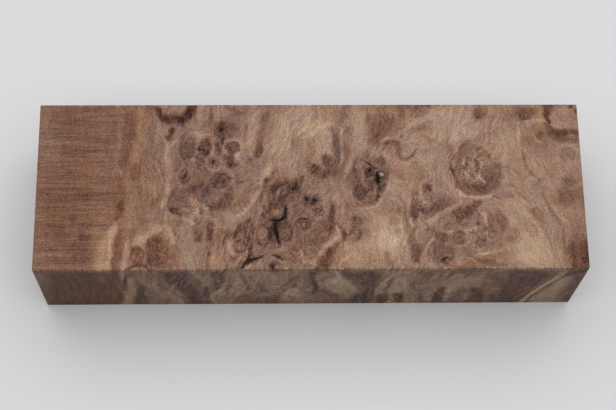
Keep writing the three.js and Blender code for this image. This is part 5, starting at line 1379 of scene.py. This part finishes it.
def pocket_cutter():
    """One mesh of every bark pocket and open spike heart, top and bottom."""
    random = np.random.default_rng(5)
    corners, faces = [], []
    sides = ((CREVICES, PITS, THICKNESS, 1), (BOTTOM_CREVICES, BOTTOM_PITS, 0.0, -1))
    for crevices, pits, face, facing in sides:
        holes = [(depth, [(x, y, width / 2.0) for x, y, width in run]) for depth, run in crevices]
        for x, y, radius, depth in pits:
            turn = random.uniform(0.0, math.pi)
            dx, dy = radius * math.cos(turn), radius * math.sin(turn)
            tip = 0.3 * radius
            holes.append((depth, [(x - dx, y - dy, tip), (x, y, radius), (x + dx, y + dy, tip)]))
        for depth, run in holes:
            made, walls = pocket(run, depth, face, facing, random)
            faces += [[i + len(corners) for i in wall] for wall in walls]
            corners += made
    mesh = bpy.data.meshes.new("pocket_cutter")
    mesh.from_pydata(np.array(corners) * MM, [], faces)
    mesh.validate()
    return placed("pocket_cutter", mesh)


def cut(block, cutter):
    """Takes the cutter out of the block's mesh."""
    modifier = block.modifiers.new("pockets", "BOOLEAN")
    modifier.object = cutter
    modifier.solver = "MANIFOLD"
    modifier.operation = "DIFFERENCE"
    apply(block, modifier)
    bpy.data.objects.remove(cutter)


def paint_figure(mesh):
    """Stores the burl's figure on the mesh's corners, as what the material reads."""
    points = np.zeros(len(mesh.vertices) * 3, np.float32)
    mesh.vertices.foreach_get("co", points)
    points = points.reshape(-1, 3).astype(float) / MM
    wood = burl_figure(points)
    depth = np.minimum(THICKNESS - points[:, 2], points[:, 2])
    within = np.all(np.abs(points[:, :2]) < NO_POCKET_PAST, axis=1)
    bark = within * smoothstep(*BARK_WALL, depth)
    arrow, gap = bark_arrow(points)
    layout = {
        "figure": (wood.tone, wood.warmth, wood.burl),
        "growth": (wood.ring, wood.curl, wood.ragged),
        "crack": arrow.T,
        "cover": (gap, bark, wood.olive),
    }
    for name, parts in layout.items():
        attribute = mesh.attributes.new(name, "FLOAT_VECTOR", "POINT")
        attribute.data.foreach_set("vector", np.stack(parts, axis=1).astype(np.float32).ravel())


def lay_out_faces(mesh):
    """A UV map at one scale, with each face of the block and its pockets in a strip of their own."""
    half = np.array([LENGTH / 2.0, WIDTH / 2.0, 0.0])
    layer = mesh.uv_layers.new(name="OFBake")
    for face in mesh.polygons:
        axis = max(range(3), key=lambda i: abs(face.normal[i]))
        middle = face.center / MM
        facing = 1 if face.normal[axis] > 0 else -1
        if abs(middle.x) < NO_POCKET_PAST[0] and abs(middle.y) < NO_POCKET_PAST[1]:
            axis, facing = 2, 1 if middle.z > THICKNESS / 2.0 else -1
        across, up, left, bottom = STRIPS[axis, facing]
        for corner in face.loop_indices:
            place = np.array(mesh.vertices[mesh.loops[corner].vertex_index].co) / MM + half
            layer.data[corner].uv = ((left + place[across]) / SHEET, (bottom + place[up]) / SHEET)


def burl_block(material):
    """The blank: the sawn block with its arrises, bark pockets and figure."""
    low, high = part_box("burl_block")
    values = {
        "Size": tuple(high - low),
        "Cells Along": CELLS[0],
        "Cells Across": CELLS[1],
        "Cells Through": CELLS[2],
        "Arris": ARRIS * MM,
        "Waviness": WAVINESS * MM,
        "Material": material,
    }
    block = grown("burl_blank", sawn_block_tree(), values)
    cut(block, pocket_cutter())
    mesh = block.data
    mesh.shade_smooth()
    mesh.set_sharp_from_angle(angle=math.radians(CREASE_ANGLE))
    paint_figure(mesh)
    lay_out_faces(mesh)
    return block


# Colours of the wood from dark to light, as the photograph shows them: (tone, red, green, blue)
MAUVE_WOOD = [
    (0.0, 36, 28, 28),
    (0.12, 52, 41, 40),
    (0.25, 85, 66, 60),
    (0.4, 116, 94, 84),
    (0.5, 134, 110, 98),
    (0.65, 160, 136, 122),
    (0.8, 182, 162, 145),
    (1.0, 205, 190, 174),
]
GOLDEN_WOOD = [
    (0.0, 40, 24, 20),
    (0.12, 60, 36, 28),
    (0.25, 92, 58, 44),
    (0.4, 124, 84, 64),
    (0.5, 144, 104, 79),
    (0.65, 170, 132, 102),
    (0.8, 192, 160, 124),
    (1.0, 214, 188, 152),
]
BARK = (46, 36, 32)
PINK_TINT = (1.05, 0.94, 1.02, 1.0)
OLIVE_TINT = (0.95, 1.05, 0.98, 1.0)
FLOOR = (223, 224, 226)
TOP_LIGHT = 1.1  # how bright a white top face would look, which the photograph's colours hold
GLOSS = 0.02  # the part of that light which the satin surface mirrors
NOISE_GAIN = 3.4  # brings Blender's noise to about -1 to 1

# Streaks along the growth lines: their width and length, in millimetres
WIDE_BANDS = (2.2, 6.0)
NARROW_BANDS = (1.1, 3.5)
STRANDS = (0.6, 2.5)
FIBRE = (0.28, 2.0, 1.5)  # with finer detail in it
VEINS = (1.6, 2.6)
HUE_STREAKS = (1.5, 6.0)

# Grain: the size of its waves along x, y and z, in millimetres
PATCHINESS = (5.0, 5.0, 5.0)
MOTTLE = (0.55, 0.55, 1.6)
SPECK = (0.24, 0.28, 0.7)
HUE_CLOUDS = (3.0, 3.0, 3.0)
CURL_SIZE = 0.95

# Lines that sanding leaves in the plain wood: size and share, along the broad faces and down the sides
LINES_ALONG = (((9.0, 0.16, 0.16), 0.65), ((3.0, 0.3, 0.3), 0.45), ((14.0, 0.9, 0.9), 0.55))
LINES_DOWN = (((0.2, 3.0, 5.0), 0.65), ((0.35, 3.0, 3.0), 0.45), ((1.0, 3.0, 9.0), 0.55))

# How strongly each pattern shows in the tone: in the plain wood, and how much more in the burl
BANDS_SHOW = (0.03, 0.04)
STRANDS_SHOW = (0.01, 0.045)
RAGGED_SHOW = (0.007, 0.035)
MOTTLE_SHOWS = (0.008, 0.025)
FIBRE_SHOWS = (0.028, 0.04)
SPECK_SHOWS = (0.16, 0.0)
SANDING_SHOWS = 0.09
CURLS_SHOW = 0.15
VEINS_SHOW = (0.0, 0.6)
ROUGHER_SIDES = 0.5  # how much more the burl's grain shows on the sawn sides

# The satin surface
SATIN = 0.52
IOR = 1.45
SPECULAR = 0.2
BUMP_STRENGTH = 0.5
BUMP_HEIGHT = 0.02


def finish_colour(red, green, blue):
    """The surface colour that looks like this from above, in the light of this scene."""
    shades = [value / 255.0 for value in (red, green, blue)]
    linear = [s / 12.92 if s < 0.04045 else ((s + 0.055) / 1.055) ** 2.4 for s in shades]
    return (*[min(max(value - GLOSS, 0.002) / TOP_LIGHT, 1.0) for value in linear], 1.0)


def streak_group():
    """Streaks that follow the growth: noise squeezed across the growth lines and stretched along them."""
    inputs = {"Ring": "Float", "Place": "Vector", "Width": "Float", "Length": "Float", "Detail": "Float"}
    tree, wire, group, out = node_group("ShaderNodeTree", "growth streaks", inputs, {"Streaks": "Float"})
    x, y, z = wire.split(group["Place"])
    down = wire.times(z, 0.3)
    across = wire.math("DIVIDE", group["Ring"], group["Width"])
    along_x = wire.math("DIVIDE", wire.math("ADD", x, down), group["Length"])
    along_y = wire.math("DIVIDE", wire.math("SUBTRACT", y, down), group["Length"])
    noise = wire.add("ShaderNodeTexNoise", wire.join(across, along_x, along_y), None, 1.0, group["Detail"])
    wire.set(out["Streaks"], wire.linear(noise, NOISE_GAIN, -NOISE_GAIN / 2.0))
    return tree


def grain_group():
    """Noise whose waves have a size of their own along each axis, in millimetres."""
    inputs = {"Place": "Vector", "Size": "Vector", "Detail": "Float"}
    tree, wire, group, out = node_group("ShaderNodeTree", "stretched grain", inputs, {"Grain": "Float"})
    squeezed = wire.vector("DIVIDE", group["Place"], group["Size"])
    noise = wire.add("ShaderNodeTexNoise", squeezed, None, 1.0, group["Detail"])
    wire.set(out["Grain"], wire.linear(noise, NOISE_GAIN, -NOISE_GAIN / 2.0))
    return tree


def curl_group():
    """Tightly curled fibre inside the rosettes: thin light ridges that wander."""
    inputs = {"Place": "Vector", "Size": "Float"}
    tree, wire, group, out = node_group("ShaderNodeTree", "curled fibre", inputs, {"Curls": "Float"})
    scale = wire.math("DIVIDE", 1.0, group["Size"])
    noise = wire.add("ShaderNodeTexNoise", group["Place"], None, scale, 0.5, 0.5, 2.0, None, None, 0.8)
    ridge = wire.math("ABSOLUTE", wire.linear(noise, NOISE_GAIN, -NOISE_GAIN / 2.0))
    wire.set(out["Curls"], wire.math("MAXIMUM", wire.linear(ridge, -3.0, 1.0), -0.5))
    return tree


def crack_group():
    """How dark a place is for the crack beside it, and the soft brown edge around the crack."""
    inputs = {"Step": "Vector", "Gap": "Float", "Rough": "Float"}
    outputs = {"Crack": "Float", "Edge": "Float"}
    tree, wire, group, out = node_group("ShaderNodeTree", "bark cracks", inputs, outputs)
    dx, dy, half = wire.split(group["Step"])
    length = wire.vector("LENGTH", wire.join(dx, dy, 0.0)).node.outputs["Value"]
    ratio = wire.math("DIVIDE", length, wire.math("MAXIMUM", half, 0.01))
    rough = wire.math("ADD", group["Rough"], ratio)
    close = wire.steps(group["Gap"], 0.45, 0.75, 1.0, 0.0)
    filled = wire.times(wire.steps(half, 0.06, 0.3, 0.5, 1.0), close)
    wire.set(out["Crack"], wire.times(wire.steps(rough, 0.3, 1.1, 1.0, 0.0), filled))
    wire.set(out["Edge"], wire.steps(rough, 0.8, 3.5, 1.0, 0.0))
    return tree


class BurlShades(Wiring):
    """The nodes of the burl's material, and the patterns that several of its parts read."""

    def __init__(self, tree):
        super().__init__(tree)
        self.groups = {
            "streaks": streak_group(),
            "grain": grain_group(),
            "curls": curl_group(),
            "cracks": crack_group(),
        }
        coordinates = self.add("ShaderNodeTexCoord").node.outputs["Object"]
        self.place = self.vector("SCALE", coordinates, None, None, 1.0 / MM)
        self.tone, self.warmth, self.burl = self.split(self.read("figure"))
        self.ring, self.curl, self.ragged = self.split(self.read("growth"))
        self.gap, self.bark, self.olive = self.split(self.read("cover"))
        self.strands = self.streaks(*STRANDS)
        self.fibre = self.streaks(*FIBRE)
        self.mottle = self.grain(MOTTLE)
        self.speck = self.grain(SPECK, 1.0)
        across = self.math("ABSOLUTE", self.split(self.place)[1])
        self.on_side = self.steps(across, WIDTH / 2.0 - 0.9, WIDTH / 2.0 - 0.2)
        self.sanding = self.sanding_lines()

    def read(self, name):
        made = self.tree.nodes.new("ShaderNodeAttribute")
        made.attribute_name = name
        return made.outputs["Vector"]

    def group(self, name, *inputs):
        made = self.tree.nodes.new("ShaderNodeGroup")
        made.node_tree = self.groups[name]
        for socket, value in zip(made.inputs, inputs):
            self.set(socket, value)
        return made.outputs

    def streaks(self, width, length, detail=0.0):
        return self.group("streaks", self.ring, self.place, width, length, detail)[0]

    def grain(self, size, detail=0.0):
        return self.group("grain", self.place, size, detail)[0]

    def mixed(self, amount, first, second, blend="MIX"):
        made = self.tree.nodes.new("ShaderNodeMix")
        made.data_type = "RGBA"
        made.blend_type = blend
        self.set(made.inputs["Factor"], amount)
        self.set(made.inputs["A"], first)
        self.set(made.inputs["B"], second)
        return made.outputs["Result"]

    def ramp(self, value, stops):
        """A colour ramp of photographed colours."""
        colour = self.add("ShaderNodeValToRGB", value)
        ramp = colour.node.color_ramp
        while len(ramp.elements) < len(stops):
            ramp.elements.new(1.0)
        for element, (position, *shade) in zip(ramp.elements, stops):
            element.position = position
            element.color = finish_colour(*shade)
        return colour

    def scaled(self, pattern, plain, figured):
        """A pattern as strong as plain in the plain wood, and stronger by figured in the burl."""
        return self.times(pattern, self.linear(self.burl, figured, plain))

    def shares(self, *terms):
        """Each pattern times its share."""
        return [self.times(pattern, share) for pattern, share in terms]

    def sanding_lines(self):
        along, down = (
            self.total(*self.shares(*[(self.grain(size), share) for size, share in lines]))
            for lines in (LINES_ALONG, LINES_DOWN)
        )
        on_top = self.math("SUBTRACT", 1.0, self.on_side)
        return self.total(*self.shares((along, on_top), (down, self.on_side)))

    def texture(self):
        """All that the grain adds to the tone."""
        bands = self.total(*self.shares((self.streaks(*WIDE_BANDS), 0.5), (self.streaks(*NARROW_BANDS), 0.6)))
        patchy = self.linear(self.grain(PATCHINESS), 0.7, 0.9)
        plain = self.math("SUBTRACT", 1.0, self.burl)
        sanded = self.times(self.sanding, SANDING_SHOWS)
        curls = self.times(self.group("curls", self.place, CURL_SIZE)[0], self.curl)
        return self.total(
            self.times(self.scaled(bands, *BANDS_SHOW), patchy),
            self.scaled(self.strands, *STRANDS_SHOW),
            self.scaled(self.ragged, *RAGGED_SHOW),
            self.scaled(self.mottle, *MOTTLE_SHOWS),
            self.scaled(self.fibre, *FIBRE_SHOWS),
            self.scaled(self.speck, *SPECK_SHOWS),
            self.times(sanded, self.times(plain, plain)),
            self.times(curls, CURLS_SHOW),
        )

    def full_tone(self):
        """The tone with its grain, and with light veins where the burl is dark."""
        sides = self.linear(self.scaled(self.on_side, 0.0, 1.0), ROUGHER_SIDES, 1.0)
        grained = self.linear(self.texture(), sides, self.tone)
        ridges = self.math("ABSOLUTE", self.streaks(*VEINS))
        veins = self.linear(ridges, -4.0, 1.0, clamp=True)
        broken = self.linear(self.ragged, 1.2, 0.8, clamp=True)
        shown = self.scaled(self.times(veins, broken), *VEINS_SHOW)
        room = self.math("MINIMUM", self.math("SUBTRACT", 0.55, grained, clamp=True), 0.3)
        return self.math("ADD", grained, self.times(shown, room))

    def hue(self):
        """0 in mauve wood and 1 in golden wood."""
        parts = self.shares(
            (self.burl, -0.15),
            (self.grain(HUE_CLOUDS), 0.12),
            (self.streaks(*HUE_STREAKS), 0.08),
            (self.strands, 0.12),
            (self.speck, 0.08),
        )
        hue = self.total(self.linear(self.warmth, 0.5, 0.52), *parts)
        return self.math("MAXIMUM", self.math("MINIMUM", hue, 1.0), 0.0)

    def wood(self, edge):
        """The wood's colour, pink or olive in places, and darker beside a crack."""
        tone = self.full_tone()
        mauve, golden = (self.ramp(tone, stops) for stops in (MAUVE_WOOD, GOLDEN_WOOD))
        wood = self.mixed(self.hue(), mauve, golden)
        green = self.total(self.olive, *self.shares((self.strands, 0.5), (self.mottle, 0.4)))
        green = self.linear(green, 0.4, 0.5, clamp=True)
        wood = self.mixed(1.0, wood, self.mixed(green, PINK_TINT, OLIVE_TINT), "MULTIPLY")
        return self.vector("SCALE", wood, None, None, self.linear(edge, -0.45, 1.0))

    def bark_cover(self):
        """Where bark covers the wood, and the soft edge around each crack."""
        rough = self.times(self.total(self.ragged, self.mottle, self.speck), 0.6)
        crack, edge = self.group("cracks", self.read("crack"), self.gap, rough)
        opacity = self.linear(self.ragged, 0.9, 0.8, clamp=True)
        return self.math("MAXIMUM", self.times(crack, opacity), self.bark), edge

    def roughness(self, dark):
        """Satin wood, and duller bark."""
        return self.total(self.linear(self.fibre, 0.06, SATIN), *self.shares((dark, 0.25)))

    def normal(self, dark):
        """Fibre, sanding lines and specks in low relief, with the bark below them."""
        parts = self.shares((self.fibre, 0.35), (self.sanding, 0.35), (self.speck, 0.3), (dark, -3.0))
        bump = self.tree.nodes.new("ShaderNodeBump")
        bump.inputs["Strength"].default_value = BUMP_STRENGTH
        bump.inputs["Distance"].default_value = BUMP_HEIGHT * MM
        self.set(bump.inputs["Height"], self.total(*parts))
        return bump.outputs["Normal"]


def burl_material():
    """Stabilized burl: figured wood in mauve and golden browns with bark in its cracks, sanded and satin."""
    material = bpy.data.materials.new("burl_wood")
    material.use_nodes = True
    tree = material.node_tree
    tree.nodes.clear()
    shades = BurlShades(tree)
    dark, edge = shades.bark_cover()
    colour = shades.mixed(dark, shades.wood(edge), finish_colour(*BARK))
    surface = tree.nodes.new("ShaderNodeBsdfPrincipled")
    tree.links.new(colour, surface.inputs["Base Color"])
    tree.links.new(shades.roughness(dark), surface.inputs["Roughness"])
    tree.links.new(shades.normal(dark), surface.inputs["Normal"])
    surface.inputs["IOR"].default_value = IOR
    surface.inputs["Specular IOR Level"].default_value = SPECULAR
    output = tree.nodes.new("ShaderNodeOutputMaterial")
    tree.links.new(surface.outputs["BSDF"], output.inputs["Surface"])
    return material


# The photograph's view, in millimetres and degrees
VIEW_TARGET = (-0.815, -4.996, 27.5)
VIEW_AZIMUTH = -4.888
VIEW_ELEVATION = 69.366
VIEW_ROLL = 4.383
VIEW_DISTANCE = 360.53
FOCAL_PIXELS = 1525.7
PICTURE_WIDTH = 616
SENSOR_WIDTH = 36.0
NEAREST_SEEN = 0.01  # metres

# The room: the light's place in degrees, metres and watts, and the floor in metres
SOFTBOX = {"azimuth": 180.0, "elevation": 82.0, "distance": 1.1, "size": 2.2, "watts": 27.2}
ROOM_COLOUR = (0.1, 0.094, 0.09, 1.0)
FLOOR_CORNERS = [(-3.0, -3.0, 0.0), (3.0, -3.0, 0.0), (3.0, 3.0, 0.0), (-3.0, 3.0, 0.0)]
FLOOR_ROUGHNESS = 0.8
FLOOR_SPECULAR = 0.1


def towards(azimuth, elevation):
    """The direction at this azimuth and elevation, in degrees, as seen from the block."""
    turn, rise = math.radians(azimuth), math.radians(elevation)
    flat = math.cos(rise)
    return Vector((math.sin(turn) * flat, -math.cos(turn) * flat, math.sin(rise)))


def photo_camera():
    """The camera at the photograph's viewing angle."""
    back = towards(VIEW_AZIMUTH, VIEW_ELEVATION)
    roll = math.radians(VIEW_ROLL)
    level = Vector((0.0, 0.0, 1.0)).cross(back).normalized()
    upright = back.cross(level)
    right = math.cos(roll) * level + math.sin(roll) * upright
    up = -math.sin(roll) * level + math.cos(roll) * upright
    lens = bpy.data.cameras.new("photo_camera")
    lens.sensor_width = SENSOR_WIDTH
    lens.lens = FOCAL_PIXELS / PICTURE_WIDTH * SENSOR_WIDTH
    lens.clip_start = NEAREST_SEEN
    camera = placed("photo_camera", lens)
    camera.matrix_world = Matrix((right, up, back)).transposed().to_4x4()
    camera.location = (Vector(VIEW_TARGET) + back * VIEW_DISTANCE) * MM
    bpy.context.scene.camera = camera


def soft_light(name, azimuth, elevation, distance, size, watts):
    """A square soft light that faces the block."""
    shape = bpy.data.lights.new(name, "AREA")
    shape.shape = "SQUARE"
    shape.size = size
    shape.energy = watts
    light = placed(name, shape)
    direction = towards(azimuth, elevation)
    light.location = direction * distance
    light.rotation_euler = direction.to_track_quat("Z", "Y").to_euler()


def floor():
    """A wide pale floor, a hair under the block."""
    mesh = bpy.data.meshes.new("floor")
    mesh.from_pydata(FLOOR_CORNERS, [], [(0, 1, 2, 3)])
    paint = bpy.data.materials.new("pale_floor")
    paint.use_nodes = True
    surface = paint.node_tree.nodes["Principled BSDF"]
    surface.inputs["Base Color"].default_value = finish_colour(*FLOOR)
    surface.inputs["Roughness"].default_value = FLOOR_ROUGHNESS
    surface.inputs["Specular IOR Level"].default_value = FLOOR_SPECULAR
    mesh.materials.append(paint)
    made = placed("floor", mesh)


def studio():
    """A large soft light overhead, a little to the back, and a dim room."""
    soft_light("overhead_softbox", **SOFTBOX)
    world = bpy.data.worlds.new("dim_room")
    world.use_nodes = True
    world.node_tree.nodes["Background"].inputs["Color"].default_value = ROOM_COLOUR
    bpy.context.scene.world = world
    bpy.context.scene.view_settings.view_transform = "Standard"
    floor()


photo_camera()
studio()
burl_wood = burl_material()
blank = burl_block(burl_wood)
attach(blank, "root")
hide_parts("burl_block")
